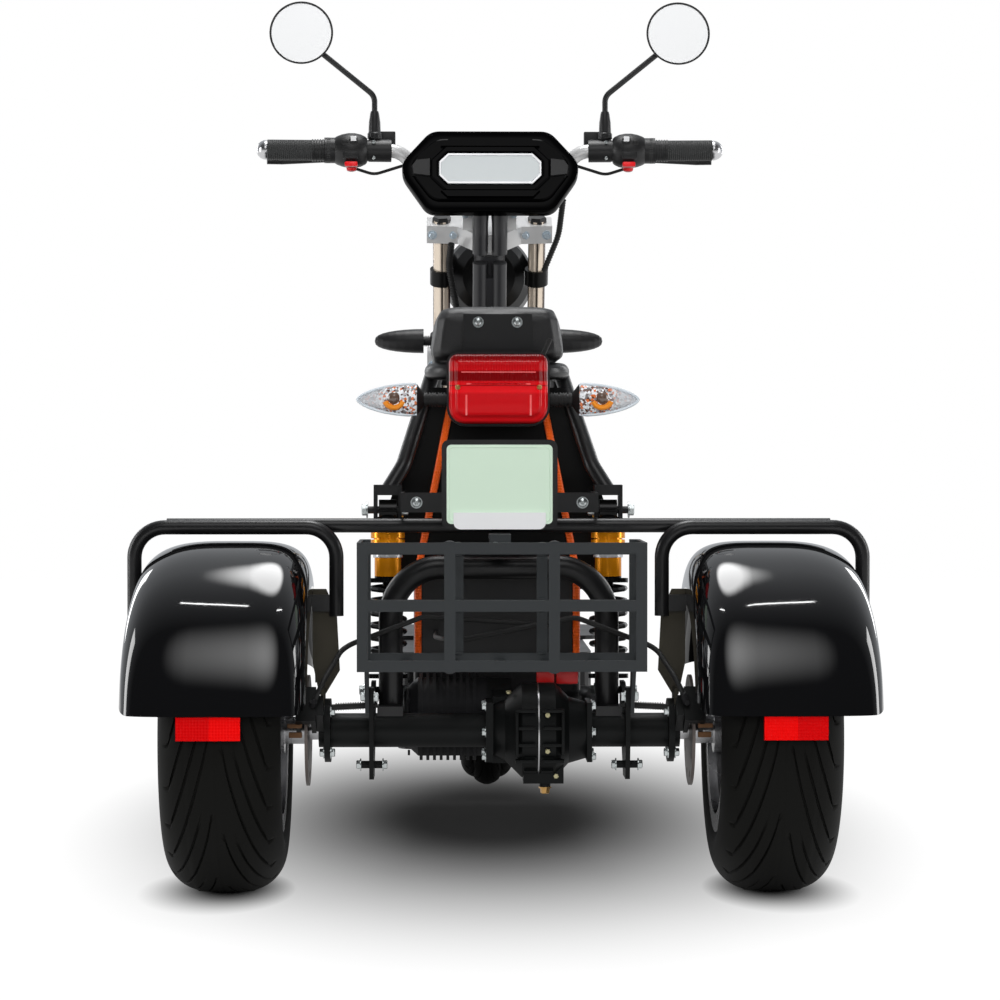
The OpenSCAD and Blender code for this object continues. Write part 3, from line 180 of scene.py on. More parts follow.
def make_studio():
    bpy.context.scene.view_settings.view_transform = "Standard"
    make_world()
    mesh = bpy.data.meshes.new("floor")
    s = FLOOR_HALF
    mesh.from_pydata([(-s, -s, 0), (s, -s, 0), (s, s, 0), (-s, s, 0)], [], [(0, 1, 2, 3)])
    floor = bpy.data.objects.new("floor", mesh)
    bpy.context.collection.objects.link(floor)
    floor.data.materials.append(floor_material())
    # Overhead panel, a large dim panel above the camera, a soft fill, thin strips and tall panels
    soften(area_lamp("key_top", (0, 0.35, 3.1), (0, -0.3, 0.3), 1.3, 48, 2.0), 0.6, 1.4)
    soften(area_lamp("rear_panel", (0, -2.9, 2.9), (0, -0.6, 0.5), 2.6, 38, 3.0), 0.0, 2.0)
    area_lamp("fill", (0, -5.0, 1.1), (0, -0.6, 0.5), 2.4, 118, 1.2).visible_glossy = False
    for side in (-1, 1):
        area_lamp("strip", (side * 0.62, -0.95, 3.0), (side * 0.5, -0.7, 0.4), 0.42, 1.2, 0.03)
        area_lamp("side", (side * 2.5, -0.5, 1.05), (side * 0.4, -0.5, 0.5), 0.6, 17, 1.5)
        area_lamp("front_panel", (side * 2.3, 2.4, 1.5), (side * 0.4, -0.4, 0.5), 0.5, 14, 1.8)


def floor_material():
    """A dark floor that keeps the object's faint shadow and glows white to camera, glass and metal outside the ovals of
    painted shadow.
    """
    mat = bpy.data.materials.new("floor_white")
    tree = empty_tree(mat)
    path = add_node(tree, "LightPath").outputs
    coords = add_node(tree, "TexCoord").outputs["Object"]
    reaches = [reach_from(tree, coords, (1 / a, 1 / b, 0), (-x / a, -y / b, 0)) for (x, y), (a, b) in PAINTED_SHADOW_OVALS]
    painted_shadow_reach = reduce(lambda a, b: combine(tree, "MINIMUM", a, b), reaches)
    shown = combine(tree, "MAXIMUM", path["Is Camera Ray"], path["Is Transmission Ray"])
    shown = combine(tree, "MAXIMUM", shown, path["Is Glossy Ray"])
    # No glow inside the ovals, so the dark floor shows there as painted shadow
    strength = combine(tree, "MULTIPLY", shown, span(tree, painted_shadow_reach, *PAINTED_SHADOW_FADE, smoothed=True))
    glow = add_node(tree, "Emission", {"Strength": strength})
    diffuse = add_node(tree, "BsdfDiffuse", {"Color": FLOOR_GREY})
    both = add_node(tree, "AddShader", {0: diffuse.outputs[0], 1: glow.outputs[0]})
    add_node(tree, "OutputMaterial", {"Surface": both.outputs[0]})
    return mat


# Materials


def material(name, color, rough, metal=0.0, coat=0.0, vary=0.12, rough_vary=0.08,
             grain=0.0, grain_scale=600.0, blotch_scale=14.0, **sockets):
    """A procedural finish: blotchy tint and roughness, with a fine grain as bump.

    color: base colour; vary: how far the tint drifts; grain: bump depth in millimetres;
    grain_scale and blotch_scale: features per metre; sockets: further shader values by name.
    """
    mat = bpy.data.materials.new(name)
    tree = empty_tree(mat)
    coords = add_node(tree, "TexCoord").outputs["Object"]
    blotch = add_node(tree, "TexNoise", {"Vector": coords, "Scale": blotch_scale, "Detail": 6}).outputs["Fac"]
    tint = add_node(tree, "MixRGB", {"Fac": blotch, 1: (*[max(0, c * (1 - vary)) for c in color], 1),
                                     2: (*[min(1, c * (1 + vary)) for c in color], 1)})
    spread = span(tree, blotch, 0, 1, max(0.02, rough - rough_vary), min(1.0, rough + rough_vary))
    inputs = {"Base Color": tint.outputs[0], "Roughness": spread, "Metallic": metal, "Coat Weight": coat}
    inputs.update({key.replace("_", " "): value for key, value in sockets.items()})
    if grain:
        fine = add_node(tree, "TexNoise", {"Vector": coords, "Scale": grain_scale, "Detail": 3}).outputs["Fac"]
        bump = add_node(tree, "Bump", {"Height": fine, "Strength": 0.6, "Distance": grain / 1000})
        inputs["Normal"] = bump.outputs[0]
    shader = add_node(tree, "BsdfPrincipled", inputs)
    add_node(tree, "OutputMaterial", {"Surface": shader.outputs[0]})
    return mat


def feed(mat, socket, output):
    mat.node_tree.links.new(output, find_node(mat.node_tree, "BSDF_PRINCIPLED").inputs[socket])


def object_place(mat):
    return find_node(mat.node_tree, "TEX_COORD").outputs["Object"]


def object_axis(mat, axis):
    return add_node(mat.node_tree, "SeparateXYZ", {0: object_place(mat)}).outputs[axis]


def stripes(mat, axis, per_metre, depth_mm):
    """Adds fine grooves across the given axis to a material's bump."""
    tree = mat.node_tree
    wave = add_node(tree, "TexWave", {"Vector": object_place(mat), "Scale": per_metre / math.pi}, bands_direction=axis)
    inputs = {"Height": wave.outputs["Fac"], "Strength": 0.8, "Distance": depth_mm / 1000}
    before = find_node(tree, "BSDF_PRINCIPLED").inputs["Normal"].links
    if before:
        inputs["Normal"] = before[0].from_socket
    feed(mat, "Normal", add_node(tree, "Bump", inputs).outputs[0])


def bands(mat, place, stops, constant=False):
    """Colour by a place from 0 to 1: stops are (place, colour)."""
    ramp = add_node(mat.node_tree, "ValToRGB", {"Fac": place})
    ramp.color_ramp.interpolation = "CONSTANT" if constant else "LINEAR"
    marks = ramp.color_ramp.elements
    while len(marks) < len(stops):
        marks.new(0.5)
    for mark, (at, color) in zip(marks, stops):
        mark.position = at
        mark.color = (*color, 1)
    return ramp.outputs["Color"]


def ramp_on(mat, axis, low, high, stops, constant=False):
    """Colours a material in bands along one axis: stops are (place in metres, colour) from low to high."""
    shares = [((at - low) / (high - low), color) for at, color in stops]
    place = span(mat.node_tree, object_axis(mat, axis), low, high)
    feed(mat, "Base Color", bands(mat, place, shares, constant))


# Red up the tail lens in bands after its moulding, with painted light and shade: share of its height, then the red
TAIL_SHADED_REDS = ((0.0, 0.30), (0.05, 0.76), (0.14, 0.64), (0.42, 0.60), (0.46, 0.84), (0.535, 0.74), (0.545, 0.16),
             (0.555, 0.72), (0.60, 0.66), (0.62, 0.20), (0.74, 0.19), (0.77, 0.56), (0.88, 0.42), (0.92, 0.20),
             (1.0, 0.14))
# Part of its height in which the lens's upright ribs begin
TAIL_RIBS = (0.56, 0.60)


def tail_material():
    """Red moulded lens: bands of brighter and darker red up its height, after its moulding and with painted light and
    shade, and fine upright ribs in its upper half.
    """
    mat = material("tail_red", (0.6, 0.006, 0.012), 0.12, vary=0.25, Specular_IOR_Level=0.1)
    tree = mat.node_tree
    lo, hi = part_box("tail_lens")
    up = span(tree, object_axis(mat, "Z"), lo.z, hi.z)
    feed(mat, "Base Color", bands(mat, up, [(at, (red, 0.012 * red, 0.018 * red)) for at, red in TAIL_SHADED_REDS]))
    wave = add_node(tree, "TexWave", {"Vector": object_place(mat), "Scale": 90}, bands_direction="X").outputs["Fac"]
    ribs = {"Height": wave, "Strength": span(tree, up, *TAIL_RIBS), "Distance": 0.00025}
    feed(mat, "Normal", add_node(tree, "Bump", ribs).outputs[0])
    return mat


def shock_material():
    """Orange gold bodies and reservoirs between black collars, with a silver band."""
    mat = material("shock_finish", (0.95, 0.3, 0.01), 0.22, metal=0.5, vary=0.1)
    black, gold, silver = (0.006, 0.006, 0.006), (1.0, 0.36, 0.006), (0.75, 0.76, 0.78)
    ramp_on(mat, "Z", 0.240, 0.520, (
        (0.240, black), (0.411, gold), (0.4365, silver), (0.4425, black), (0.4565, gold), (0.4735, black)), True)
    return mat


def rim_material():
    """Bright alloy rims on dark hubs."""
    bright, dark = (0.5, 0.5, 0.51), (0.012, 0.011, 0.01)
    mat = material("rim_alloy", bright, 0.26, metal=1.0, vary=0.06)
    rim_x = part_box("right_rim")[0].x + 0.012
    ramp_on(mat, "X", -0.5, 0.5, ((-0.5, bright), (-rim_x, dark), (rim_x, bright)), True)
    return mat


STANCHION_R = 0.014


def stanchion_reflection_material():
    """Bright bronze-tinted tubes with painted reflection: light and dark lines lengthwise, and darker edges."""
    mat = material("stanchion", (0.86, 0.77, 0.68), 0.2, metal=0.5, vary=0.05, rough_vary=0.04)
    left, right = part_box("fork_stanchions")[0].x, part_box("fork_stanchions")[1].x
    # Painted reflection across each tube: light bands, a dark line by its middle and dark brown edges
    light, line, edge = (0.92, 0.79, 0.65), (0.012, 0.009, 0.007), (0.07, 0.04, 0.03)
    across = ((-1.0, edge), (-0.85, light), (-0.1, light), (0.0, line), (0.1, line), (0.2, light), (0.65, light),
              (0.8, edge))
    ramp_on(mat, "X", left, right, [(tube + share * STANCHION_R, color)
                                    for tube in (left + STANCHION_R, right - STANCHION_R) for share, color in across])
    return mat


# Facets of an indicator: share of the random values below, then the colour
CRYSTAL_SHADES = ((0.0, (0.10, 0.03, 0.015)), (0.27, (0.75, 0.17, 0.03)), (0.38, (0.22, 0.2, 0.2)),
                  (0.47, (0.5, 0.5, 0.52)), (0.58, (0.88, 0.9, 0.93)))
# Where the facets give way to a plain tip, out from the vehicle's middle, and the tip's colour
CRYSTAL_TIP_X = (0.148, 0.166)
CRYSTAL_TIP = (0.62, 0.64, 0.67, 1)


def crystal_material():
    """Faceted reflector under a clear lens: small flat cells from white to grey, some of them amber."""
    mat = material("crystal", (0.8, 0.8, 0.82), 0.14, coat=1.0, vary=0.1)
    tree = mat.node_tree
    cells = add_node(tree, "TexVoronoi", {"Vector": object_place(mat), "Scale": 340}).outputs
    tip = span(tree, combine(tree, "ABSOLUTE", object_axis(mat, "X")), *CRYSTAL_TIP_X, 0, 0.85)
    facets = bands(mat, cells["Color"], CRYSTAL_SHADES, True)
    feed(mat, "Base Color", add_node(tree, "MixRGB", {"Fac": tip, 1: facets, 2: CRYSTAL_TIP}).outputs[0])
    bump = add_node(tree, "Bump", {"Height": cells["Distance"], "Strength": 0.5, "Distance": 0.001})
    feed(mat, "Normal", bump.outputs[0])
    return mat


def reflector_material():
    """Red prismatic sheet: one half darker, with a fine grid all over."""
    mat = material("red_reflector", (0.7, 0.002, 0.003), 0.25, vary=0.1, Specular_IOR_Level=0.06)
    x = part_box("reflectors")[1].x
    dark, bright = (0.72, 0.002, 0.003), (0.95, 0.003, 0.003)
    ramp_on(mat, "X", -x, x, ((-x, dark), (0.040 - x, bright), (x - 0.080, bright), (x - 0.040, dark)), True)
    for axis in "XZ":
        stripes(mat, axis, 260, 0.25)
    return mat


# Plain finishes: colour, roughness, then further values of material()
PLAIN = {
    "gloss_black": ((0.003, 0.003, 0.0035), 0.06, dict(coat=0.4, rough_vary=0.02, grain=0.006, grain_scale=90)),
    "dash_gloss": ((0.0015, 0.0015, 0.0017), 0.1, dict(
        rough_vary=0.02, grain=0.004, grain_scale=90, Specular_IOR_Level=0.03)),
    "tube_black": ((0.006, 0.006, 0.0065), 0.34, dict(grain=0.05, grain_scale=900)),
    "basket_grey": ((0.022, 0.025, 0.027), 0.55, dict(grain=0.12, grain_scale=1300)),
    "frame_grey": ((0.02, 0.02, 0.022), 0.4, dict(grain=0.05, grain_scale=1100)),
    "cast_black": ((0.0045, 0.005, 0.005), 0.45, dict(grain=0.12, grain_scale=500, Specular_IOR_Level=0.18)),
    "motor_dark": ((0.009, 0.009, 0.01), 0.5, dict(grain=0.1, grain_scale=700, Specular_IOR_Level=0.2)),
    "plastic_black": ((0.008, 0.008, 0.0085), 0.42, dict(grain=0.04, grain_scale=1500)),
    "lamp_black": ((0.004, 0.004, 0.004), 0.3, dict(rough_vary=0.05, Specular_IOR_Level=0.18)),
    "rubber": ((0.009, 0.009, 0.009), 0.62, dict(grain=0.05, grain_scale=1400)),
    "grip_rubber": ((0.024, 0.025, 0.025), 0.6, {}),
    "tyre_rubber": ((0.006, 0.006, 0.0054), 0.68, dict(
        vary=0.3, grain=0.12, grain_scale=800, Specular_IOR_Level=0.12)),
    "alloy": ((0.55, 0.55, 0.56), 0.28, dict(metal=1.0, vary=0.06, grain=0.02, grain_scale=900)),
    "bar_silver": ((0.72, 0.72, 0.72), 0.3, dict(metal=0.35, vary=0.06, grain=0.02, grain_scale=900)),
    "yellow_zinc": ((0.5, 0.46, 0.27), 0.35, dict(metal=0.5, vary=0.25)),
    # Pale rim of the indicators' clear lenses: painted highlight on their edge
    "lens_rim_highlight": ((0.72, 0.79, 0.85), 0.12, dict(coat=1.0, vary=0.05)),
    "bulb_grey": ((0.12, 0.075, 0.055), 0.15, dict(coat=1.0, vary=0.2)),
    "dark_alloy": ((0.06, 0.06, 0.062), 0.45, dict(metal=0.4, grain=0.08, grain_scale=600)),
    "blue_zinc": ((0.62, 0.72, 0.8), 0.3, dict(metal=0.4, vary=0.2)),
    "disc_steel": ((0.14, 0.12, 0.11), 0.4, dict(metal=0.6)),
    "leather": ((0.010, 0.010, 0.0105), 0.46, dict(grain=0.5, grain_scale=420)),
    "red_lens": ((0.6, 0.006, 0.012), 0.08, dict(coat=1.0, vary=0.25)),
    "button_red": ((0.85, 0.01, 0.015), 0.3, dict(vary=0.05)),
    "clear_lens": ((0.95, 0.96, 0.98), 0.03, dict(vary=0.01, rough_vary=0.01, Transmission_Weight=1.0, IOR=1.35)),
    "lamp_glass": ((0.7, 0.72, 0.75), 0.1, dict(metal=0.3, coat=1.0, vary=0.04)),
    # Mirror glass as a near-white plain surface, not metal: painted reflection of the white backdrop
    "mirror_glass": ((0.97, 0.98, 0.99), 0.1, dict(vary=0.01, rough_vary=0.02)),
    "orange_plastic": ((0.98, 0.12, 0.006), 0.42, {}),
    "stay_olive": ((0.035, 0.031, 0.022), 0.6, dict(vary=0.35, grain=0.2, grain_scale=500)),
    "plate_green": ((0.69, 0.86, 0.70), 0.3, dict(vary=0.03, coat=0.3)),
    "strip_white": ((0.85, 0.86, 0.87), 0.3, dict(vary=0.02, coat=0.2)),
    "screen": ((0.56, 0.6, 0.61), 0.3, dict(vary=0.05, coat=0.3)),
    "zinc": ((0.62, 0.66, 0.66), 0.3, dict(metal=1.0, vary=0.2)),
    "brass": ((0.55, 0.33, 0.12), 0.35, dict(metal=1.0, vary=0.2)),
    "red_plastic": ((0.5, 0.012, 0.012), 0.35, {}),
    "orange_bulb": ((0.95, 0.3, 0.02), 0.3, dict(vary=0.1)),
    # Paler red of the tail lens's ridges: painted highlight on them
    "red_ridge_highlight": ((0.95, 0.14, 0.14), 0.1, dict(vary=0.1, coat=0.6)),
    "rust": ((0.12, 0.06, 0.028), 0.7, dict(vary=0.5, grain=0.2, grain_scale=500, blotch_scale=60)),
}
# Fine grooves on some of them: axis, grooves per metre, depth in millimetres
GROOVED = {"grip_rubber": ("X", 300, 0.5), "disc_steel": ("Z", 900, 0.02), "lamp_glass": ("X", 120, 0.6),
           "orange_plastic": ("Z", 260, 0.6)}
# Finishes with functions of their own
SPECIAL = {"rim_alloy": rim_material, "crystal": crystal_material, "stanchion": stanchion_reflection_material,
           "red_reflector": reflector_material, "shock_finish": shock_material, "tail_red": tail_material}
# Which finish each CAD node shows
FINISH = {
    "gloss_black": ["fenders", "front_fender"],
    "dash_gloss": ["dash_housing"],
    "lamp_black": ["headlamp"],
    "tube_black": ["seat_frame", "tail_bracket", "plate_bracket", "swing_arm", "guard_rail", "fender_hoops",
                   "shock_springs"],
    "basket_grey": ["basket"],
    "frame_grey": ["main_tubes"],
    "cast_black": ["axle_beam", "differential", "rear_calipers"],
    "motor_dark": ["motor"],
    "plastic_black": ["deck_box", "footboard", "controller_box", "tail_lamp", "plate_holder", "switch_pods",
                      "mirrors", "front_indicators", "brake_levers"],
    "rubber": ["rear_indicators", "brake_hoses"],
    "grip_rubber": ["grips"],
    "tyre_rubber": ["front_tyre", "left_tyre", "right_tyre"],
    "rim_alloy": ["left_rim", "right_rim"],
    "alloy": ["front_rim"],
    "bar_silver": ["triple_clamps", "handlebar", "bar_ends"],
    "dark_alloy": ["front_caliper", "fork_sliders"],
    "stanchion": ["fork_stanchions"],
    "disc_steel": ["front_disc", "left_disc", "right_disc"],
    "leather": ["seat"],
    "red_lens": ["tail_lens"],
    "red_reflector": ["reflectors"],
    "clear_lens": ["rear_indicator_lenses"],
    "lamp_glass": ["headlamp_lens"],
    "mirror_glass": ["mirror_glass"],
    "shock_finish": ["shocks"],
    "orange_plastic": ["power_conduits"],
    "stay_olive": ["fender_stays"],
    "plate_green": ["number_plate"],
    "screen": ["dash_screen"],
}


def make_materials():
    made = {name: material(name, color, rough, **more) for name, (color, rough, more) in PLAIN.items()}
    for name, grooves in GROOVED.items():
        stripes(made[name], *grooves)
    made.update({name: draw() for name, draw in SPECIAL.items()})
    return made


MATS = make_materials()


def dress_nodes():
    for finish, names in FINISH.items():
        for name in names:
            data = nodes[name].data
            data.materials.clear()
            data.materials.append(MATS[finish])


# Shapes

RIGHT, LEFT, BACK, UP, DOWN = (1, 0, 0), (-1, 0, 0), (0, -1, 0), (0, 0, 1), (0, 0, -1)


def turns(count):
    return [2 * math.pi * i / count for i in range(count)]


def band(inner, outer, length):
    """Profile of a flat ring round a bar, for lathe."""
    return [(0, inner), (0, outer), (length, outer), (length, inner)]


class Build:
    """Gathers simple turned and flat forms into one mesh."""

    def __init__(self):
        self.verts = []
        self.faces = []

    def add(self, verts, faces):
        n = len(self.verts)
        self.verts += [tuple(v) for v in verts]
        self.faces += [tuple(i + n for i in f) for f in faces]
        return self

    def lathe(self, at, axis, profile, sides=24):
        """A turned form about axis through at: profile is (distance along the axis, radius) from end to end."""
        at, axis = Vector(at), Vector(axis).normalized()
        u = axis.orthogonal().normalized()
        w = axis.cross(u)
        verts, rings = [], []
        for along, radius in profile:
            ring = []
            for a in turns(sides)[:1 if radius == 0 else sides]:
                ring.append(len(verts))
                verts.append(at + axis * along + (u * math.cos(a) + w * math.sin(a)) * radius)
            rings.append(ring)
        faces = []
        for p, q in zip(rings, rings[1:]):
            for i in range(sides):
                quad = [p[i % len(p)], p[(i + 1) % len(p)], q[(i + 1) % len(q)], q[i % len(q)]]
                face = list(dict.fromkeys(quad))
                if len(face) > 2:
                    faces.append(face)
        for ring, turn in ((rings[0], -1), (rings[-1], 1)):
            if len(ring) > 1:
                faces.append(ring[::turn])
        return self.add(verts, faces)

    def bolt(self, at, axis, head, washer=True):
        """A hex bolt head of that width, with its washer and the bolt's rounded top."""
        h = head * 0.45
        if washer:
            self.lathe(at, axis, [(0, head * 0.78), (head * 0.14, head * 0.78), (head * 0.16, head * 0.5)])
        base = head * 0.16 if washer else 0
        return self.lathe(at, axis, [(base, head * 0.5), (base, head * 0.57), (base + h * 0.85, head * 0.57),
                                     (base + h, head * 0.48), (base + h, 0)], 6)

    def dome_screw(self, at, axis, d):
        r = d / 2
        return self.lathe(at, axis, [(0, r), (d * 0.12, r), (d * 0.3, r * 0.8), (d * 0.38, r * 0.42),
                                     (d * 0.26, r * 0.36), (d * 0.26, 0)], 20)

    def washer_screw(self, at, d, washer_r, washer_t):
        """A dome screw on its washer, seen from behind."""
        self.lathe(at, BACK, [(0, washer_r), (washer_t, washer_r)])
        return self.dome_screw(Vector(at) + Vector(BACK) * washer_t, BACK, d)

    def slab(self, low, high, bevel):
        """A block between two corners with its edges cut back by bevel."""
        lo, hi = Vector(low), Vector(high)
        bm = bmesh.new()
        bmesh.ops.create_cube(bm, size=1)
        for v in bm.verts:
            v.co = Vector([(lo[k] + hi[k]) / 2 + v.co[k] * (hi[k] - lo[k]) for k in range(3)])
        bmesh.ops.bevel(bm, geom=bm.edges[:], offset=bevel, segments=2, profile=0.6, affect="EDGES")
        bm.verts.index_update()
        self.add([v.co.copy() for v in bm.verts], [[v.index for v in f.verts] for f in bm.faces])
        bm.free()
        return self

    def sheet(self, outline, along, thick):
        """A flat piece from an outline of points in space, thickened along a direction."""
        d = Vector(along).normalized() * thick
        pts = [Vector(p) for p in outline]
        n = len(pts)
        faces = [list(range(n))[::-1], list(range(n, 2 * n))]
        faces += [[i, (i + 1) % n, n + (i + 1) % n, n + i] for i in range(n)]
        return self.add(pts + [p + d for p in pts], faces)

    def tube(self, path, d, sides=12):
        """A round bar along a path of points."""
        pts = [Vector(p) for p in path]
        verts, faces = [], []
        side = None
        for i, p in enumerate(pts):
            t = (pts[min(i + 1, len(pts) - 1)] - pts[max(i - 1, 0)]).normalized()
            side = t.orthogonal().normalized() if side is None else (side - t * side.dot(t)).normalized()
            up = t.cross(side)
            verts += [p + (side * math.cos(a) + up * math.sin(a)) * d / 2 for a in turns(sides)]
        for i in range(len(pts) - 1):
            for k in range(sides):
                a, b = i * sides + k, i * sides + (k + 1) % sides
                faces.append([a, b, b + sides, a + sides])
        faces.append(list(range(sides))[::-1])
        faces.append([(len(pts) - 1) * sides + k for k in range(sides)])
        return self.add(verts, faces)

    def both_sides(self):
        """Repeats everything gathered so far on the other side of the middle plane."""
        return self.add([(-x, y, z) for x, y, z in self.verts], [f[::-1] for f in self.faces])

    def make(self, name, finish, body="chassis", sharp=35):
        return mesh_piece(name, self.verts, self.faces, finish, body, sharp)


def mesh_piece(name, verts, faces, finish, body="chassis", sharp=35):
    """A smooth shaded piece of a body, whose edges are sharp from that angle in degrees on."""
    mesh = bpy.data.meshes.new(name)
    mesh.from_pydata([tuple(v) for v in verts], [], faces)
    obj = bpy.data.objects.new(name, mesh)
    bpy.context.collection.objects.link(obj)
    mesh.materials.append(MATS[finish])
    bm = bmesh.new()
    bm.from_mesh(mesh)
    bmesh.ops.recalc_face_normals(bm, faces=bm.faces[:])
    bm.to_mesh(mesh)
    bm.free()
    mesh.polygons.foreach_set("use_smooth", [True] * len(mesh.polygons))
    mesh.set_sharp_from_angle(angle=math.radians(sharp))
    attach(obj, body)
    return obj


def rounded(points, bend, step=0.004):
    """The path through points with each corner rounded to the bend radius."""
    p = [Vector(q) for q in points]
    out = [p[0]]
    for i in range(1, len(p) - 1):
        u, w = (p[i] - p[i - 1]).normalized(), (p[i + 1] - p[i]).normalized()
        turn = u.angle(w)
        if turn < 0.01:
            out.append(p[i])
            continue
        inward = (w - u * w.dot(u)).normalized()
        centre = p[i] - u * bend * math.tan(turn / 2) + inward * bend
        steps = max(3, int(turn * bend / step))
        for k in range(steps + 1):
            a = turn * k / steps
            out.append(centre - inward * bend * math.cos(a) + u * bend * math.sin(a))
    return out + [p[-1]]


def cable(name, path, d, finish, body):
    """A round cable along a path, as a curve of one open spline."""
    data = bpy.data.curves.new(name, "CURVE")
    data.dimensions = "3D"
    data.bevel_depth = d / 2
    data.bevel_resolution = 4
    data.use_fill_caps = True
    spline = data.splines.new("POLY")
    spline.points.add(len(path) - 1)
    for point, co in zip(spline.points, path):
        point.co = (*co, 1)
    spline.use_smooth = True
    obj = bpy.data.objects.new(name, data)
    bpy.context.collection.objects.link(obj)
    data.materials.append(MATS[finish])
    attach(obj, body)
    return obj


def grid_faces(rows, cols, wrap_rows=False, wrap_cols=False):
    faces = []
    for i in range(rows if wrap_rows else rows - 1):
        for k in range(cols if wrap_cols else cols - 1):
            a, b = i * cols + k, i * cols + (k + 1) % cols
            c, d = ((i + 1) % rows) * cols + (k + 1) % cols, ((i + 1) % rows) * cols + k
            faces.append((a, b, c, d))
    return faces


def ring_stack(rings, caps=(0, -1)):
    """Points and faces of a skin over rings of equal length, closed over the rings that caps names."""
    n = len(rings[0])
    faces = grid_faces(len(rings), n, wrap_cols=True)
    for cap in caps:
        start = cap % len(rings) * n
        faces.append(tuple(range(start, start + n)))
    return [v for ring in rings for v in ring], faces


# Tyres with their tread

RIM_D = 0.254
# Height of a bead's lip over the rim
LIP = 0.014
# Places round one pitch of the tread, as distances in millimetres from the middle of its groove
PITCH_MM = (0, 1.0, 1.8, 4.0, 6.4, 8.2, 13, 19, 25)
# The pitch that these places were drawn for
DRAWN_PITCH_MM = 58
# How far a groove sweeps round the tyre, where long and short ones begin from the crown, and their depth
SWEEP = math.radians(58)
LONG_START = 0.007
SHORT_START = 0.024
GROOVE_DEEP = 0.0048


def smooth(a, b, x):
    t = min(1.0, max(0.0, (x - a) / (b - a)))
    return t * t * (3 - 2 * t)


def tyre_section(d, w, shoulder, drop):
    """Half section of a tyre from the crown to its bead: (radius, place across) with the arc length from the crown."""
    pts = []
    half = w / 2 - shoulder
    edge = half + shoulder * math.sin(math.radians(15))
    for i in range(10):
        y = edge * i / 10
        pts.append((d / 2 - drop * (y / (w / 2 - shoulder * 0.7)) ** 2, y))
    for i in range(25):
        a = math.radians(15 + 75 * i / 24)
        pts.append((d / 2 - drop - shoulder + shoulder * math.cos(a), half + shoulder * math.sin(a)))
    r_wall = pts[-1][0]
    lip = RIM_D / 2 + LIP
    for r, inset in ((0.55, 0.001), (0.3, 0.002)):
        pts.append((lip + (r_wall - lip) * r, w / 2 - inset))
    pts += [(lip + 0.002, w / 2 - 0.0035), (lip, w / 2 - 0.0042), (RIM_D / 2, w / 2 - 0.014)]
    arc = [0.0]
    for a, b in zip(pts, pts[1:]):
        arc.append(arc[-1] + math.dist(a, b))
    return pts, arc


def groove_depth(u, off, reach, short):
    """Depth of the tread at arc length u from the crown and off millimetres beside a groove's middle."""
    wide = 5.2 - 3.6 * smooth(reach - 0.012, reach + 0.004, u)
    deep = GROOVE_DEEP - 0.0026 * smooth(reach - 0.002, reach + 0.008, u)
    begin = SHORT_START if short else LONG_START
    deep *= smooth(begin - 0.003, begin + 0.005, u) * (1 - smooth(reach + 0.004, reach + 0.012, u))
    return deep * (1 - smooth(wide - 0.8, wide + 1.0, abs(off)))


def tread_tyre(name, node, centre, body, d, w, shoulder, drop, pitches, reach):
    """A tyre whose long grooves sweep from its middle to its shoulders and end there in thin sipes.

    pitches: grooves round the tyre on each side; reach: arc length from the crown to a groove's end.
    """
    half, arc = tyre_section(d, w, shoulder, drop)
    section = [(r, -y, -s) for (r, y), s in zip(half[::-1], arc[::-1])][:-1] + [
        (r, y, s) for (r, y), s in zip(half, arc)]
    pitch = 2 * math.pi / pitches
    mm = d / 2 * pitch * 1000 / DRAWN_PITCH_MM
    offs = [-v for v in PITCH_MM[:0:-1]] + list(PITCH_MM)
    verts = []
    for j in range(pitches):
        for off in offs:
            for r, y, s in section:
                u = abs(s)
                lean = SWEEP * min(1.0, max(0.0, (u - LONG_START) / (reach - LONG_START))) ** 0.8
                a = (j + (0.5 if s < 0 else 0.0)) * pitch + off * mm / 1000 / (d / 2) - lean
                rr = r - groove_depth(u, off, reach, j % 2 == 1)
                verts.append((centre[0] + y, centre[1] - rr * math.cos(a), centre[2] + rr * math.sin(a)))
    faces = grid_faces(pitches * len(offs), len(section), wrap_rows=True)
    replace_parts(mesh_piece(name, verts, faces, "tyre_rubber", body, 40), node)


def make_tyres():
    for name, x in (("left", -REAR_X), ("right", REAR_X)):
        tread_tyre(f"{name}_tread_tyre", f"{name}_tyre", (x, REAR_Y, REAR_Z), f"rear_wheel_{name}",
                   d=0.424, w=0.156, shoulder=0.052, drop=0.002, pitches=22, reach=0.066)
    tread_tyre("front_tread_tyre", "front_tyre", (0, FRONT_Y, FRONT_Z), "front_wheel",
               d=0.430, w=0.090, shoulder=0.030, drop=0.012, pitches=26, reach=0.036)


# Fenders over the rear wheels

FENDER_CREST_X = 0.352
FENDER_R = 0.250
FENDER_LOW_R = 0.165
FENDER_T = 0.003
FENDER_OUT_W = 0.119
FENDER_FLARE = 0.0105
FENDER_IN_W = 0.105
FENDER_HIND = math.radians(9)
FENDER_FRONT = math.radians(162)
FENDER_CORNER = 0.014
FENDER_RINGS = 72


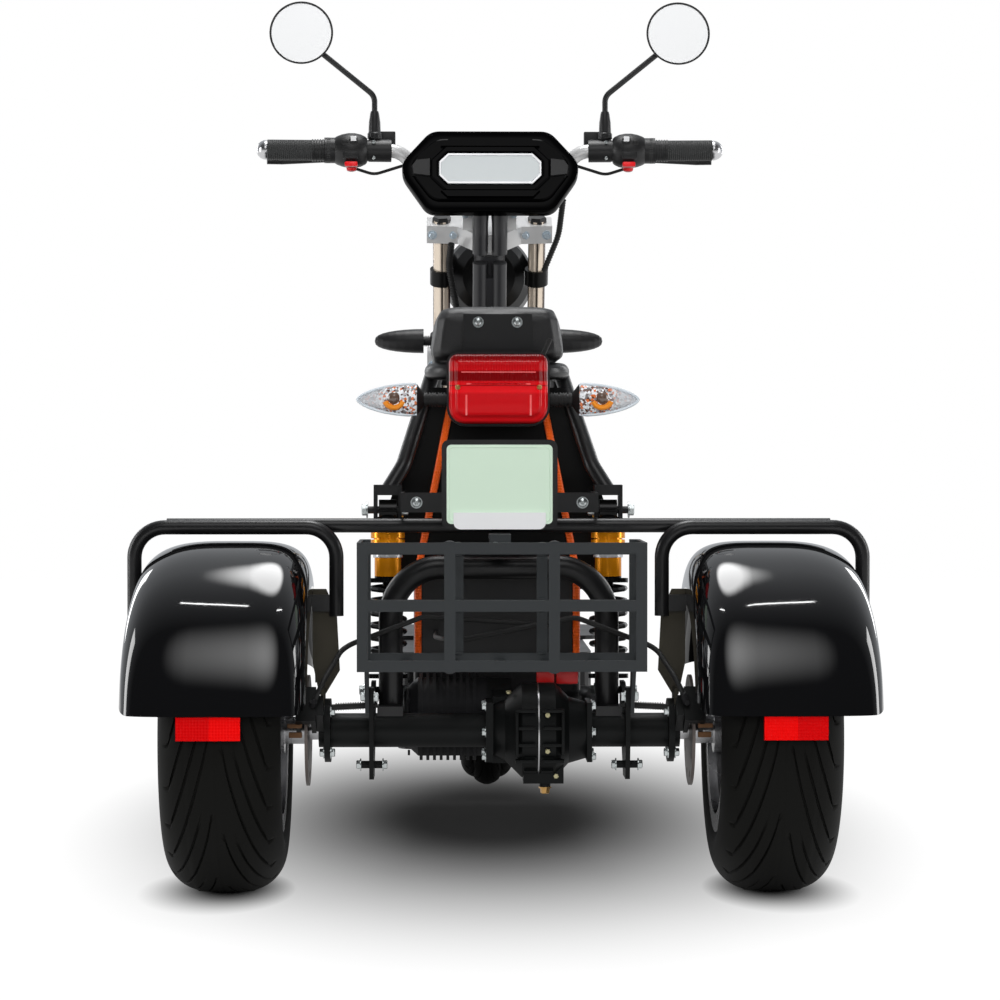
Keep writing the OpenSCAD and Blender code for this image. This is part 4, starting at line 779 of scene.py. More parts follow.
def fender_ring(share, grow, steps=22):
    """Points across a fender, from its hind edge at share 0 to its front edge at 1.

    The outer shoulder widens and squares up towards the hind edge, whose two lower corners are rounded.
    """
    turn = FENDER_HIND + (FENDER_FRONT - FENDER_HIND) * share
    flare = smooth(math.radians(95), math.radians(15), turn)
    pts = []
    for side, w, p in ((1, FENDER_OUT_W + FENDER_FLARE * flare, 3.2 + 1.5 * flare),
                       (-1, FENDER_IN_W, 4.0 + 0.6 * flare)):
        arm = []
        for i in range(steps + 1):
            a = math.pi / 2 * i / steps
            r = FENDER_LOW_R + (FENDER_R - grow - FENDER_LOW_R) * math.sin(a) ** (2 / p)
            x = (w - grow) * max(0.0, math.cos(a)) ** (2 / p)
            near = max(0.0, 1 - (w - grow - x) / FENDER_CORNER)
            lift = FENDER_CORNER * (1 - math.sqrt(1 - near * near))
            edge = math.asin((FENDER_R * math.sin(FENDER_HIND) + lift) / r)
            arm.append((side * x, r, edge + (FENDER_FRONT - edge) * share))
        pts += arm if side == 1 else arm[-2::-1]
    return [(FENDER_CREST_X + x, REAR_Y - r * math.cos(t), REAR_Z + r * math.sin(t)) for x, r, t in pts]


def make_fenders():
    skins = [fender_ring(i / FENDER_RINGS, 0) + fender_ring(i / FENDER_RINGS, FENDER_T)[::-1]
             for i in range(FENDER_RINGS + 1)]
    cols = len(skins[0])
    points, faces = ring_stack(skins, ())
    for base in (0, FENDER_RINGS * cols):
        for k in range(cols // 2 - 1):
            faces.append((base + k, base + k + 1, base + cols - 2 - k, base + cols - 1 - k))
    for name, side in (("right", 1), ("left", -1)):
        verts = [(side * x, y, z) for x, y, z in points]
        shell = mesh_piece(f"{name}_fender_shell", verts, faces, "gloss_black", sharp=60)
        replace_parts(shell, "fenders")


# Seat cushion

# How squarely the pad's plan and its edges turn their corners
PLAN_POWER = 14
EDGE_POWER = 12
SEAT_VOXEL = 0.006
SWELL_CAP = 0.0035
# The seam's drop below the top, its half height and its depth
SEAM_DROP = 0.0095
SEAM_TALL = 0.0035
SEAM_DEEP = 0.0035


def power_norm(a, b, power):
    return (abs(a) ** power + abs(b) ** power) ** (1 / power)


def make_seat():
    lo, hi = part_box("seat")
    half = (hi - lo) / 2
    # Room for the cloth to swell into
    shrink = 0.004
    bm = bmesh.new()
    bmesh.ops.create_cube(bm, size=1)
    bmesh.ops.subdivide_edges(bm, edges=bm.edges[:], cuts=11, use_grid_fill=True)
    for v in bm.verts:
        x, y, z = v.co * 2
        wide = half.x - shrink - 0.009 * smooth(-1.0, 1.0, z)
        plan = max(abs(x), abs(y))
        k = power_norm(x, y, PLAN_POWER)
        if k > 1e-6:
            x, y = x * plan / k, y * plan / k
        edge = power_norm(plan, z, EDGE_POWER)
        big = max(plan, abs(z))
        x, y, z = x * big / edge, y * big / edge, z * big / edge
        crown = 0.004 * (1 - x * x) * (1 - y * y) * smooth(0.5, 1.0, z)
        v.co = Vector((x * wide, y * (half.y - shrink), z * (half.z - shrink / 2) + crown))
    mesh = bpy.data.meshes.new("seat_cushion")
    bm.to_mesh(mesh)
    bm.free()
    seat = bpy.data.objects.new("seat_cushion", mesh)
    bpy.context.collection.objects.link(seat)
    mesh.transform(Matrix.Translation(middle("seat")))
    bpy.context.view_layer.objects.active = seat
    seat.select_set(True)
    mesh.remesh_voxel_size = SEAT_VOXEL
    bpy.ops.object.voxel_remesh()
    swell(seat, SWELL_CAP, lo.z + 0.002)
    groove_seat(seat.data, hi.z - SEAM_DROP)
    sub = seat.modifiers.new("finer", "SUBSURF")
    sub.levels = sub.render_levels = 1
    bpy.ops.object.modifier_apply(modifier="finer")
    seat.data.materials.clear()
    seat.data.materials.append(MATS["leather"])
    seat.data.polygons.foreach_set("use_smooth", [True] * len(seat.data.polygons))
    seat.select_set(False)
    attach(seat, "chassis")
    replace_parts(seat, "seat")


def swell(obj, cap, floor_z):
    """Puffs a closed pad up with cloth pressure, moving no point further than cap and none below its floor."""
    rest = [v.co.copy() for v in obj.data.vertices]
    cloth = obj.modifiers.new("puff", "CLOTH")
    cloth.settings.use_pressure = True
    cloth.settings.uniform_pressure_force = 4
    cloth.settings.effector_weights.gravity = 0
    cloth.settings.quality = 4
    scene = bpy.context.scene
    for frame_no in range(1, 21):
        scene.frame_set(frame_no)
    shaped = obj.evaluated_get(bpy.context.evaluated_depsgraph_get()).to_mesh()
    puffed = [v.co.copy() for v in shaped.vertices]
    obj.evaluated_get(bpy.context.evaluated_depsgraph_get()).to_mesh_clear()
    obj.modifiers.remove(cloth)
    scene.frame_set(1)
    for v, a, b in zip(obj.data.vertices, rest, puffed):
        move = b - a
        if move.length > cap:
            move *= cap / move.length
        v.co = a + move
        v.co.z = max(v.co.z, floor_z)


def groove_seat(mesh, seam_z):
    """Presses the sewn seam under the top panel into the sides, with shallow puckers along it."""
    mid = middle("seat")
    for v in mesh.vertices:
        near = math.exp(-((v.co.z - seam_z) / SEAM_TALL) ** 2)
        out = Vector((v.co.x - mid.x, (v.co.y - mid.y) * 0.4, 0))
        if near < 0.02 or out.length < 0.05:
            continue
        pucker = 1 + 0.35 * math.sin(v.co.x * 210) * math.sin(v.co.y * 190)
        v.co -= out.normalized() * SEAM_DEEP * near * pucker


# Tail: lamp, indicators, plate

# Rings of the tail lens from its rim to its face: inset, then depth from the rim
LENS_RINGS = ((0, 0), (0, 0.012), (0.0008, 0.016), (0.0028, 0.0195), (0.0055, 0.0215), (0.0085, 0.0225),
              (0.0105, 0.0265), (0.0125, 0.0285), (0.0155, 0.0292), (0.03, 0.0298))
# Ridges on the lens's face, drawn in a paler red as painted highlight: left, right, bottom and top from its middle,
# then bevel
LENS_RIDGES = ((-0.0444, -0.0416, -0.036, -0.008, 0.0008), (0.0416, 0.0444, -0.036, -0.008, 0.0008),
               (-0.043, 0.043, 0.0055, 0.0075, 0.0006), (-0.05, 0.05, 0.0215, 0.0230, 0.0005))
# An indicator's depth as a share of its height, and its rings and points round each
LEAF_FLAT = 0.6
LEAF_ROWS = 15
LEAF_COLS = 28
CRESCENT_R = 0.0128
PLATE_EDGE = 0.0035


def lamp_outline(w, h, r_top, r_low, steps=8):
    """Outline of the tail lamp about its middle: X, then Z, with larger lower corners."""
    pts = []
    for cx, cz, r, a0 in ((1, 1, r_top, 0), (-1, 1, r_top, 90), (-1, -1, r_low, 180), (1, -1, r_low, 270)):
        for i in range(steps + 1):
            a = math.radians(a0 + 90 * i / steps)
            pts.append((cx * (w / 2 - r) + r * math.cos(a), cz * (h / 2 - r) + r * math.sin(a)))
    return pts


def make_tail_lamp():
    lo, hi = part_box("tail_lens")
    mid = middle("tail_lens")
    rings = []
    for inset, depth in LENS_RINGS:
        outline = lamp_outline(hi.x - lo.x - 2 * inset, hi.z - lo.z - 2 * inset,
                               max(0.004, 0.012 - inset), max(0.006, 0.023 - inset))
        rings.append([(mid.x + x, hi.y - depth, mid.z + z) for x, z in outline])
    lens = mesh_piece("tail_lens_shell", *ring_stack(rings, (-1,)), "tail_red", sharp=50)
    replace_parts(lens, "tail_lens")
    ridges, screws, bolts = Build(), Build(), Build()
    face = lo.y + 0.0003
    for x0, x1, z0, z1, bevel in LENS_RIDGES:
        ridges.slab((x0, face - 0.0001, mid.z + z0), (x1, face + 0.004, mid.z + z1), bevel)
    for side in (-1, 1):
        screws.dome_screw((side * 0.0545, face + 0.001, mid.z + 0.002), BACK, 0.0072)
        bolts.washer_screw((side * 0.0265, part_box("tail_bracket")[0].y, 0.756), 0.0115, 0.0075, 0.001)
    ridges.make("tail_lens_ridges", "red_ridge_highlight")
    screws.make("tail_lens_screws", "brass")
    bolts.make("tail_bracket_screws", "zinc")


def leaf_half(r, share):
    """Half height of an indicator at a share of its length."""
    return (r - 0.002) * max(0.0, 1 - share * share) ** 0.66


def make_indicators():
    """Leaf-shaped lamps: a pale rim, painted highlight on the clear lens's edge, round small facets, with a grey bulb
    over an amber crescent.
    """
    lo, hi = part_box("rear_indicator_lenses")
    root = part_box("rear_indicators")[1].x
    length = hi.x - root
    y, z, r = (lo.y + hi.y) / 2, (lo.z + hi.z) / 2, (hi.z - lo.z) / 2
    leaves, rims, bulbs, ambers, ribs = [Build() for i in range(5)]
    rings = []
    for i in range(LEAF_ROWS):
        t = i / (LEAF_ROWS - 1) * 0.995
        tall = leaf_half(r, t)
        rings.append([(root + (length - 0.002) * t, y + LEAF_FLAT * tall * math.cos(a), z + tall * math.sin(a))
                      for a in turns(LEAF_COLS)])
    leaves.add(*ring_stack(rings))
    edge = [math.sin(math.pi / 2 * i / 14) for i in range(15)]
    upper = [(root + 0.0015 + (length - 0.004) * t, y - 0.003, z + leaf_half(r, t)) for t in edge]
    lower = [(x, py, 2 * z - pz) for x, py, pz in upper[::-1]]
    rims.tube(upper + lower[1:] + upper[:1], 0.0040, 10)
    bulb = Vector((root + 0.031, y - LEAF_FLAT * r * 0.55, z + 0.002))
    bulbs.lathe(bulb, BACK, [(0, 0.0085), (0.003, 0.0085), (0.0058, 0.0065), (0.0074, 0.0034), (0.0078, 0)])
    arc = [math.radians(200 + 10 * i) for i in range(15)]
    ambers.tube([bulb + Vector((CRESCENT_R * math.cos(a), -0.002, CRESCENT_R * math.sin(a))) for a in arc], 0.0078, 10)
    for i in range(7):
        ribs.lathe((root - 0.038 + i * 0.0040, y, z), RIGHT, band(0.007, 0.0098, 0.0020))
    shell = leaves.both_sides().make("indicator_leaves", "crystal", sharp=60)
    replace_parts(shell, "rear_indicator_lenses")
    rims.both_sides().make("indicator_rims", "lens_rim_highlight")
    bulbs.both_sides().make("indicator_bulbs", "bulb_grey")
    ambers.both_sides().make("indicator_crescents", "orange_bulb")
    ribs.both_sides().make("indicator_stalk_ribs", "rubber")


def make_plate():
    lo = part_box("plate_holder")[0]
    x, z0, z1, r = 0.0605, lo.z - 0.0005, lo.z + 0.0215, 0.009
    outline = [(-x, lo.y, z1), (x, lo.y, z1)]
    for cx, a0 in ((x - r, 0), (r - x, -90)):
        for i in range(9):
            a = math.radians(a0 - 90 * i / 8)
            outline.append((cx + r * math.cos(a), lo.y, z0 + r + r * math.sin(a)))
    Build().sheet(outline, BACK, 0.0022).make("plate_strip", "strip_white")
    lo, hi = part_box("number_plate")
    ring = lamp_outline(hi.x - lo.x - 2 * PLATE_EDGE, hi.z - lo.z - 2 * PLATE_EDGE, 0.005, 0.005)
    path = [(px, lo.y, (lo.z + hi.z) / 2 + pz) for px, pz in ring]
    Build().tube(path + path[:2], 0.0018, 8).make("plate_edge", "plate_green")
    screws = Build()
    for x in (-0.109, 0.109):
        screws.washer_screw((x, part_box("plate_bracket")[0].y, 0.513), 0.0125, 0.0078, 0.0012)
    screws.make("plate_bracket_domes", "zinc")


# Rear axle, shocks, basket: bolts, welds and fittings

# Bolts on the right side, repeated on the left: place, direction, head width
SIDE_BOLTS = (
    ((0.182, -0.639, 0.168), RIGHT, 0.0105), ((0.154, -0.639, 0.168), LEFT, 0.0105),
    ((0.180, -0.538, 0.258), RIGHT, 0.012), ((0.131, -0.538, 0.258), LEFT, 0.012),
    ((0.176, -0.524, 0.501), RIGHT, 0.014), ((0.130, -0.524, 0.501), LEFT, 0.014),
    ((0.176, -0.646, 0.258), RIGHT, 0.011), ((0.1655, -0.655, 0.258), LEFT, 0.011),
    ((0.230, -0.651, 0.239), RIGHT, 0.010), ((0.230, -0.651, 0.185), RIGHT, 0.010),
    ((0.222, -0.651, 0.239), LEFT, 0.010), ((0.222, -0.651, 0.185), LEFT, 0.010))
# Bolts round both ends of the drive's housing, and small ones on it
HOUSING_ENDS = ((-0.018, LEFT), (0.121, RIGHT))
HOUSING_BOLTS = ((-0.655, 0.246), (-0.655, 0.212), (-0.655, 0.180), (-0.624, 0.246), (-0.592, 0.180))
SMALL_BOLTS = (((0.012, -0.640, 0.262), (0, -0.3, 1)), ((0.062, -0.684, 0.236), (0, -1, 0.4)),
               ((0.062, -0.685, 0.190), (0, -1, -0.3)), ((0.074, -0.654, 0.154), BACK))
# The motor's axis: Y, then Z
MOTOR_AT = (-0.532, 0.222)
# Right half of the inner guard's outline: X, then Z
GUARD_Y = -0.448
GUARD_HALF = ((0.100, 0.668), (0.113, 0.610), (0.132, 0.555), (0.152, 0.500), (0.152, 0.470), (0.136, 0.455),
              (0.136, 0.390))
# Width of the basket's flat bars, and the heights of its level ones
BASKET_BAR = 0.014
BASKET_LEVELS = (0.311, 0.3865, 0.459)
HOSE_D = 0.007
CONDUIT_D = 0.010
CONDUIT_Y = -0.4572


def make_drive_fittings():
    zinc, yellow, ribs, cap = [Build() for i in range(4)]
    for bolt in SIDE_BOLTS:
        zinc.bolt(*bolt)
    zinc.both_sides()
    for x, axis in HOUSING_ENDS:
        for y, z in HOUSING_BOLTS:
            zinc.bolt((x, y, z), axis, 0.009)
    for at, axis in SMALL_BOLTS:
        yellow.bolt(at, axis, 0.0062, False)
    yellow.make("housing_bolts", "yellow_zinc")
    zinc.make("drive_bolts", "zinc")
    Build().lathe((0.060, -0.636, 0.1382), DOWN, [
        (0, 0.0085), (0.002, 0.0085), (0.002, 0.0065), (0.008, 0.0062), (0.009, 0.005), (0.009, 0)], 6).make(
            "drain_plug", "brass")
    Build().lathe((0.050, REAR_Y, REAR_Z), RIGHT, band(0.0600, 0.0628, 0.0018), 64).make("housing_gasket", "alloy")
    # Ribs round the housing, bars across its hind face and two upright ones
    for i in range(9):
        a = math.radians(-150 + i * 22)
        c, s = math.cos(a), math.sin(a)
        for x0, x1 in ((0.032, 0.048), (0.054, 0.070)):
            corners = ((x0, 0.058), (x1, 0.058), (x1, 0.0655), (x0, 0.0655))
            ribs.sheet([(x, REAR_Y + r * c - 0.002 * s, REAR_Z + r * s + 0.002 * c) for x, r in corners],
                       (0, s, -c), 0.004)
    for dz, inset in ((0.030, 0), (0.008, 0.004), (-0.014, 0.004), (-0.036, 0)):
        back = REAR_Y - math.sqrt(0.0672 ** 2 - dz ** 2)
        for x0, x1 in ((0.020 + inset, 0.046), (0.056, 0.084 - inset)):
            ribs.slab((x0, back - 0.0035, REAR_Z + dz - 0.0022), (x1, back + 0.012, REAR_Z + dz + 0.0022), 0.0008)
    for x in (0.022, 0.082):
        ribs.slab((x - 0.002, -0.6925, 0.184), (x + 0.002, -0.668, 0.240), 0.0008)
    ribs.make("housing_ribs", "cast_black")
    y, z = MOTOR_AT
    cap.lathe((-0.1205, y, z), LEFT, [(0, 0.040), (0.003, 0.040), (0.006, 0.036), (0.008, 0.018), (0.012, 0.016),
                                      (0.0125, 0)], 40)
    for i in range(6):
        a = math.radians(60 * i + 30)
        cap.bolt((-0.119, y + 0.049 * math.cos(a), z + 0.049 * math.sin(a)), LEFT, 0.007, False)
    cap.make("motor_cap", "motor_dark")


def make_axle_fittings():
    """Inner guard between the seat's posts, covers over the drive, brake cable springs, tabs and the lamp's cable."""
    outline = [(x, GUARD_Y, z) for x, z in GUARD_HALF] + [(-x, GUARD_Y, z) for x, z in GUARD_HALF[::-1]]
    Build().sheet(outline, (0, 1, 0), 0.003).make("inner_guard", "lamp_black")
    covers, springs, tabs = Build(), Build(), Build()
    covers.slab((0.050, -0.594, 0.272), (0.074, -0.580, 0.292), 0.002)
    covers.slab((0.076, -0.598, 0.270), (0.106, -0.580, 0.296), 0.004)
    covers.make("drive_covers", "red_plastic")
    springs.tube([(0.160, -0.650, 0.2475), (0.222, -0.652, 0.2445)], 0.0078)
    for i in range(14):
        springs.lathe((0.172 + i * 0.0032, -0.650, 0.2470 - i * 0.00015), RIGHT,
                      [(0, 0.0036), (0.0003, 0.0052), (0.0015, 0.0052), (0.0018, 0.0036)], 14)
    springs.both_sides().make("brake_cable_springs", "rubber")
    tabs.slab((0.257, -0.702, 0.2215), (0.276, -0.692, 0.2270), 0.0008)
    tabs.slab((0.257, -0.702, 0.2090), (0.274, -0.692, 0.2160), 0.0008)
    tabs.both_sides().make("caliper_tabs", "rust")
    Build().tube([(0.058, -0.516, 0.704), (0.066, -0.516, 0.722), (0.071, -0.517, 0.733)], 0.0068, 14).make(
        "lamp_cable_stub", "rubber")


def make_basket_welds():
    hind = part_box("basket")[0].y
    bar = BASKET_BAR
    welds = Build()
    bead = [(0, 0.0005), (bar * 0.25, 0.0022), (bar * 0.5, 0.0028), (bar * 0.75, 0.0022), (bar, 0.0005)]
    for y, half, drop in ((hind + 0.0030, 0.0655, 0), (hind + 0.1450, 0.0546, 0.006)):
        for x in (-half, half):
            for z in BASKET_LEVELS:
                for dz in (-bar / 2, bar / 2):
                    place = (x - bar / 2, y, z + dz - (drop if z > BASKET_LEVELS[0] else 0))
                    welds.lathe(place, RIGHT, bead, 12)
    welds.make("basket_welds", "basket_grey")
    Build().bolt((-0.006, hind + 0.1450, 0.4565), BACK, 0.008).make("basket_tab_bolt", "zinc")


def make_hoses():
    fittings = Build()
    for name, side, y, z in (("right", 1, -0.642, 0.330), ("left", -1, -0.626, 0.352)):
        route = ((0.2416, -0.7036, 0.2554), (0.232, -0.718, 0.278), (0.206, y, 0.322), (0.100, y, 0.362),
                 (-0.060, y, z), (-0.084, -0.544, z), (-0.084, -0.4522, z))
        path = rounded([(side * px, py, pz) for px, py, pz in route], 0.028)
        hose = cable(f"{name}_brake_hose", path, HOSE_D, "rubber", "chassis")
        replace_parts(hose, "brake_hoses")
        d = (path[1] - path[0]).normalized()
        fittings.lathe(path[0], d, [(0, 0.0050), (0.012, 0.0050), (0.0125, 0.0045), (0.016, 0.0042)], 14)
        fittings.bolt(path[0] - d * 0.001 + Vector((0, -0.004, 0)), BACK, 0.007, False)
    fittings.make("hose_fittings", "motor_dark")


def make_conduits():
    for name, side in (("right", 1), ("left", -1)):
        route = [(side * x, CONDUIT_Y, z) for x, z in ((0.062, 0.655), (0.109, 0.415), (0.109, 0.300))]
        path = rounded(route, 0.120)
        pipe = cable(f"{name}_power_conduit", path, CONDUIT_D, "orange_plastic", "chassis")
        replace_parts(pipe, "power_conduits")


# Front: bar, dashboard, headlamp

CASTER = math.radians(25)
STEER_POINT = (0.61975, 0.1981)
DASH_AT = (0.2110, 1.027)
DASH_TILT = math.radians(15)
# Rings of the dashboard from its back to the raised middle of its face: inset, then height over the face
DASH_ROWS = ((0.003, -0.026), (0.0, -0.023), (0.0, -0.004), (0.0012, -0.0012), (0.004, 0.0), (0.0150, 0.0),
             (0.0165, 0.0046), (0.0185, 0.0060))
BAR_KNEE = Vector((0.140, 0.2510, 1.062))
BAR_OUTER = Vector((0.356, 0.2370, 1.062))
BAR_WAY = (BAR_OUTER - BAR_KNEE).normalized()
# Radius of the bar inside the collars and pods
BAR_R = 0.0125
FORK_X = 0.0777
FORK_Y = 0.040
CLAMP_LEVELS = (0.800, 0.570)
RISER_X = 0.0155
RISER_D = 0.0251
# Distance between a loom's ribs
LOOM_RIB = 0.0045


def fork_point(x, y, z):
    """A place in the fork's frame, whose Z runs up the steering axis."""
    return Vector((x, STEER_POINT[0] + y * math.cos(CASTER) - z * math.sin(CASTER),
                   STEER_POINT[1] + y * math.sin(CASTER) + z * math.cos(CASTER)))


def dash_point(x, up, out):
    """A place on the dashboard: across, up its face, and out from it towards the rider."""
    return Vector((x, DASH_AT[0] + up * math.sin(DASH_TILT) - out * math.cos(DASH_TILT),
                   DASH_AT[1] + up * math.cos(DASH_TILT) + out * math.sin(DASH_TILT)))


def bar_point(along, behind=0.0, up=0.0):
    """A place on the right bar's straight end: out along it, behind its axis and above it."""
    return BAR_KNEE + BAR_WAY * along + Vector((0, -behind, up))


def dash_row(outline, shift, out):
    """An outline on the dashboard, shrunk towards its middle by shift, at a height over the face."""
    n = len(outline)
    c = Vector((sum(p[0] for p in outline) / n, sum(p[1] for p in outline) / n))
    return [dash_point(*(Vector(p) - (Vector(p) - c).normalized() * shift), out) for p in outline]


def dash_ring(build, outer, inner, low, high, bevel):
    """A frame between two outlines on the dashboard, from one height to another, with its edges cut back."""
    rows = [dash_row(outer, 0, low), dash_row(outer, 0, high - bevel), dash_row(outer, bevel, high),
            dash_row(inner, -bevel, high), dash_row(inner, 0, high - bevel), dash_row(inner, 0, low)]
    build.add([v for r in rows for v in r], grid_faces(len(rows), len(outer), wrap_rows=True, wrap_cols=True))


def cut_rect(w, h, c):
    """A rectangle with its corners cut off by c."""
    return [(w / 2, c - h / 2), (w / 2, h / 2 - c), (w / 2 - c, h / 2), (c - w / 2, h / 2),
            (-w / 2, h / 2 - c), (-w / 2, c - h / 2), (c - w / 2, -h / 2), (w / 2 - c, -h / 2)]


def dash_outline(inset):
    """Outline of the dashboard shrunk by inset: X, then up its face."""
    right = [(0.100 - inset / 2, inset - 0.068), (0.1405 - inset, -0.008), (0.1405 - inset, 0.016),
             (0.095 - inset / 2, 0.068 - inset)]
    return right + [(-x, up) for x, up in right[::-1]]


def soft_corners(points, radius, steps=6):
    """The outline with each corner drawn as a curve that begins and ends at radius from it."""
    out = []
    n = len(points)
    for i in range(n):
        before, corner, after = [Vector(points[(i + k) % n]) for k in (-1, 0, 1)]
        a = corner + (before - corner).normalized() * min(radius, (before - corner).length * 0.45)
        b = corner + (after - corner).normalized() * min(radius, (after - corner).length * 0.45)
        for k in range(steps + 1):
            t = k / steps
            out.append(tuple(a * (1 - t) ** 2 + corner * 2 * t * (1 - t) + b * t * t))
    return out


def make_dash():
    rings = [[dash_point(x, up, out) for x, up in soft_corners(dash_outline(inset), 0.014)] for inset, out in DASH_ROWS]
    shell = mesh_piece("dash_shell", *ring_stack(rings), "dash_gloss", "steering", 30)
    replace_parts(shell, "dash_housing")
    bezel, wings, rim = Build(), Build(), Build()
    dash_ring(bezel, cut_rect(0.190, 0.074, 0.023), cut_rect(0.166, 0.055, 0.0155), 0.004, 0.0120, 0.003)
    # A brow over the display and a chin under it
    for up, y0, y1, w0, w1 in ((1, 0.038, 0.052, 0.080, 0.066), (-1, 0.038, 0.048, 0.080, 0.070)):
        pts = [(-w0, up * y0), (w0, up * y0), (w1, up * y1), (-w1, up * y1)]
        bezel.add(*ring_stack([[dash_point(x, y, 0.004) for x, y in pts],
                               [dash_point(x * 0.97, y * 0.985, 0.0125) for x, y in pts]]))
    bezel.make("dash_bezel", "dash_gloss", "steering", 25)
    for side in (-1, 1):
        pts = [(0.094, -0.014), (0.124, -0.010), (0.126, 0.006), (0.118, 0.017), (0.094, 0.020)]
        wings.add(*ring_stack([[dash_point(side * x, y, 0.003) for x, y in pts], [
            dash_point(side * (0.110 + (x - 0.110) * 0.86), y * 0.84, 0.0105) for x, y in pts]]))
    wings.make("dash_wings", "plastic_black", "steering", 25)
    dash_ring(rim, cut_rect(0.1625, 0.0505, 0.0135), cut_rect(0.156, 0.044, 0.0125), 0.0095, 0.0108, 0.0005)
    rim.make("display_frame", "alloy", "steering", 25)


def make_bar_fittings():
    pods, black, zinc, red, pale, ends = [Build() for i in range(6)]
    pods.lathe(bar_point(0.0572), BAR_WAY, [
        (0, BAR_R), (0, 0.0195), (0.003, 0.0225), (0.010, 0.0258), (0.020, 0.0278), (0.030, 0.0278), (0.040, 0.0258),
        (0.048, 0.0228), (0.053, 0.0195), (0.053, BAR_R)], 40)
    shell = pods.both_sides().make("switch_barrels", "plastic_black", "steering", 40)
    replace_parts(shell, "switch_pods")
    # Switches on the hind face of a pod: out along the bar, above its axis, half width, half height, reach behind it
    for along, up, w, h, out in ((0.078, 0.0125, 0.0065, 0.0065, 0.0270), (0.092, 0.0105, 0.0045, 0.004, 0.0262),
                                 (0.083, -0.0095, 0.0125, 0.0060, 0.0275)):
        p = bar_point(along, 0.0, up)
        black.slab((p.x - w, p.y - out, p.z - h), (p.x + w, p.y - 0.018, p.z + h), 0.0018)
    p = bar_point(0.078, 0.0272, 0.0140)
    pale.slab((p.x - 0.0045, p.y - 0.0018, p.z - 0.0015), (p.x + 0.0045, p.y, p.z + 0.0065), 0.0006)
    p = bar_point(0.0820, 0.0, -0.0240)
    red.lathe(p, DOWN, [(0, 0.0085), (0.0055, 0.0085), (0.0085, 0.0070), (0.0098, 0.0035), (0.0100, 0)])
    red.slab((p.x - 0.0105, p.y - 0.0285, p.z - 0.0040), (p.x + 0.0105, p.y - 0.0105, p.z + 0.0045), 0.0030)
    # Collars at both ends of a pod and ribs on the grip's collar
    for along, radius, length in ((0.0500, 0.0172, 0.0085), (0.1090, 0.0205, 0.0165)):
        black.lathe(bar_point(along), BAR_WAY, band(BAR_R, radius, length), 32)
    for i in range(5):
        black.lathe(bar_point(0.1265 + i * 0.0042), BAR_WAY, band(0.0155, 0.0176, 0.0022), 28)
    # Fluid box in front of the bar with its cover screw, and a pod's two screws
    black.slab((0.1520, 0.2655, 1.0665), (0.1790, 0.2820, 1.0950), 0.0015)
    zinc.dome_screw((0.1640, 0.2655, 1.0770), BACK, 0.0105)
    for up in (0.0125, -0.0125):
        zinc.dome_screw(bar_point(0.046, 0.0155, up), BACK, 0.0062)
    # Boot over a mirror's stem
    black.lathe((0.185, 0.2510, 1.0815), UP, [(0, 0.0115), (0.008, 0.0115), (0.010, 0.0098), (0.026, 0.0092),
                                              (0.040, 0.0072), (0.044, 0.0060), (0.044, 0.0046)])
    for build, name, finish in ((black, "bar_switches", "plastic_black"), (zinc, "bar_screws", "zinc"),
                                (red, "bar_red_buttons", "button_red"), (pale, "bar_slide_switches", "strip_white")):
        build.both_sides().make(name, finish, "steering")
    start = bar_point((BAR_OUTER - BAR_KNEE).length + 0.0002)
    ends.lathe(start, BAR_WAY, [(0, 0.0150), (0.0015, 0.0158), (0.006, 0.0152), (0.011, 0.0128), (0.0145, 0.0094),
                                (0.0165, 0.0055), (0.0168, 0)], 36)
    shaped = ends.both_sides().make("bullet_ends", "alloy", "steering", 50)
    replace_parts(shaped, "bar_ends")


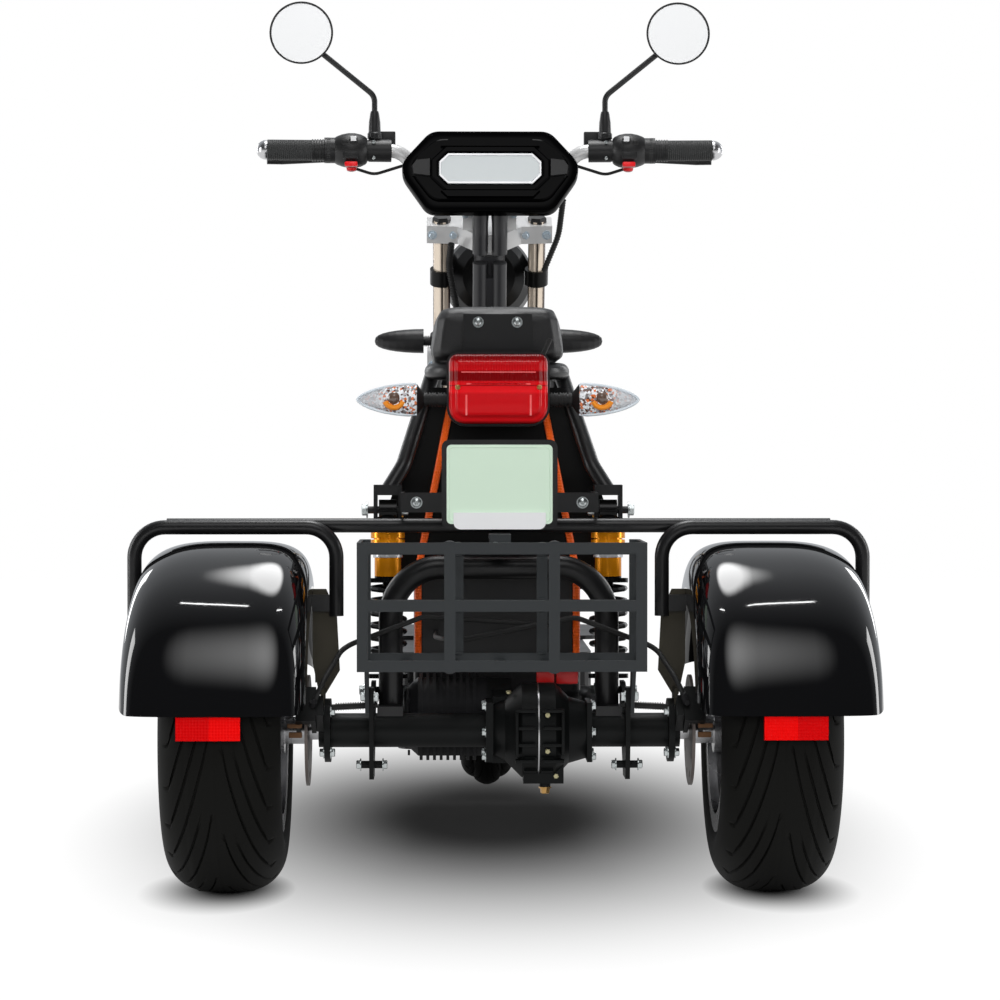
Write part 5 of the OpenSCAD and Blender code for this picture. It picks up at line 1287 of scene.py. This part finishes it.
def make_front_fork():
    caps, bolts, tubes = Build(), Build(), Build()
    up = (fork_point(0, 0, 1) - fork_point(0, 0, 0)).normalized()
    back = -(fork_point(0, 1, 0) - fork_point(0, 0, 0)).normalized()
    caps.lathe(fork_point(FORK_X, FORK_Y, 0.8150), up, [(0, 0.0155), (0.006, 0.0155), (0.009, 0.0135), (0.0095, 0)], 6)
    for z in CLAMP_LEVELS:
        for x in (FORK_X + 0.015, FORK_X - 0.020):
            bolts.lathe(fork_point(x, FORK_Y - 0.0195, z), back, [(0, 0.0075), (0.004, 0.0075), (0.004, 0.0062)], 20)
            bolts.bolt(fork_point(x, FORK_Y - 0.0230, z), back, 0.0095, False)
    for x in (0.025, 0.039):
        bolts.bolt(fork_point(x, 0.004, 0.840), back, 0.007)
    foot, knee = [fork_point(RISER_X, -0.0342, z) for z in (0.789, 0.821)]
    top = Vector((RISER_X, 0.229, 0.987))
    tubes.tube(rounded([foot, knee, top], 0.030), RISER_D, 24)
    d = (top - knee).normalized()
    tubes.lathe(top - d * 0.050, d, [(0, RISER_D / 2), (0.010, 0.0128), (0.022, 0.0140), (0.034, 0.0158),
                                     (0.042, 0.0165)])
    caps.both_sides().make("fork_caps", "plastic_black", "steering")
    bolts.both_sides().make("clamp_bolts", "blue_zinc", "steering")
    tubes.both_sides().make("riser_sleeves", "frame_grey", "steering", 60)


def make_looms():
    """Ribbed looms beside the fork and switch leads under the bar, fixed to the steering."""
    looms, leads = Build(), Build()
    for route, d in (([(-0.062, 0.286, 0.915), (-0.066, 0.322, 0.880), (-0.050, 0.352, 0.800)], 0.0095),
                     ([(0.118, 0.258, 0.985), (0.112, 0.290, 0.930), (0.088, 0.300, 0.872)], 0.0085)):
        path = rounded(route, 0.060)
        looms.tube(path, d, 14)
        for a, b in zip(path, path[1:]):
            count = max(1, int((b - a).length / LOOM_RIB))
            for k in range(count):
                looms.lathe(a.lerp(b, k / count), b - a, [
                    (0, d * 0.48), (0.0006, d * 0.6), (0.0018, d * 0.6), (0.0024, d * 0.48)], 14)
    for side in (-1, 1):
        route = ((0.216, 0.256, 1.034), (0.186, 0.262, 1.025), (0.138, 0.262, 1.040))
        leads.tube(rounded([(side * x, y, z) for x, y, z in route], 0.030), 0.0050, 10)
    looms.make("front_looms", "rubber", "steering")
    leads.make("switch_leads", "rubber", "steering")


make_camera()
make_studio()
dress_nodes()
make_hoses()
make_conduits()
make_tyres()
make_fenders()
make_seat()
make_tail_lamp()
make_indicators()
make_plate()
make_drive_fittings()
make_basket_welds()
make_axle_fittings()
make_dash()
make_bar_fittings()
make_front_fork()
make_looms()
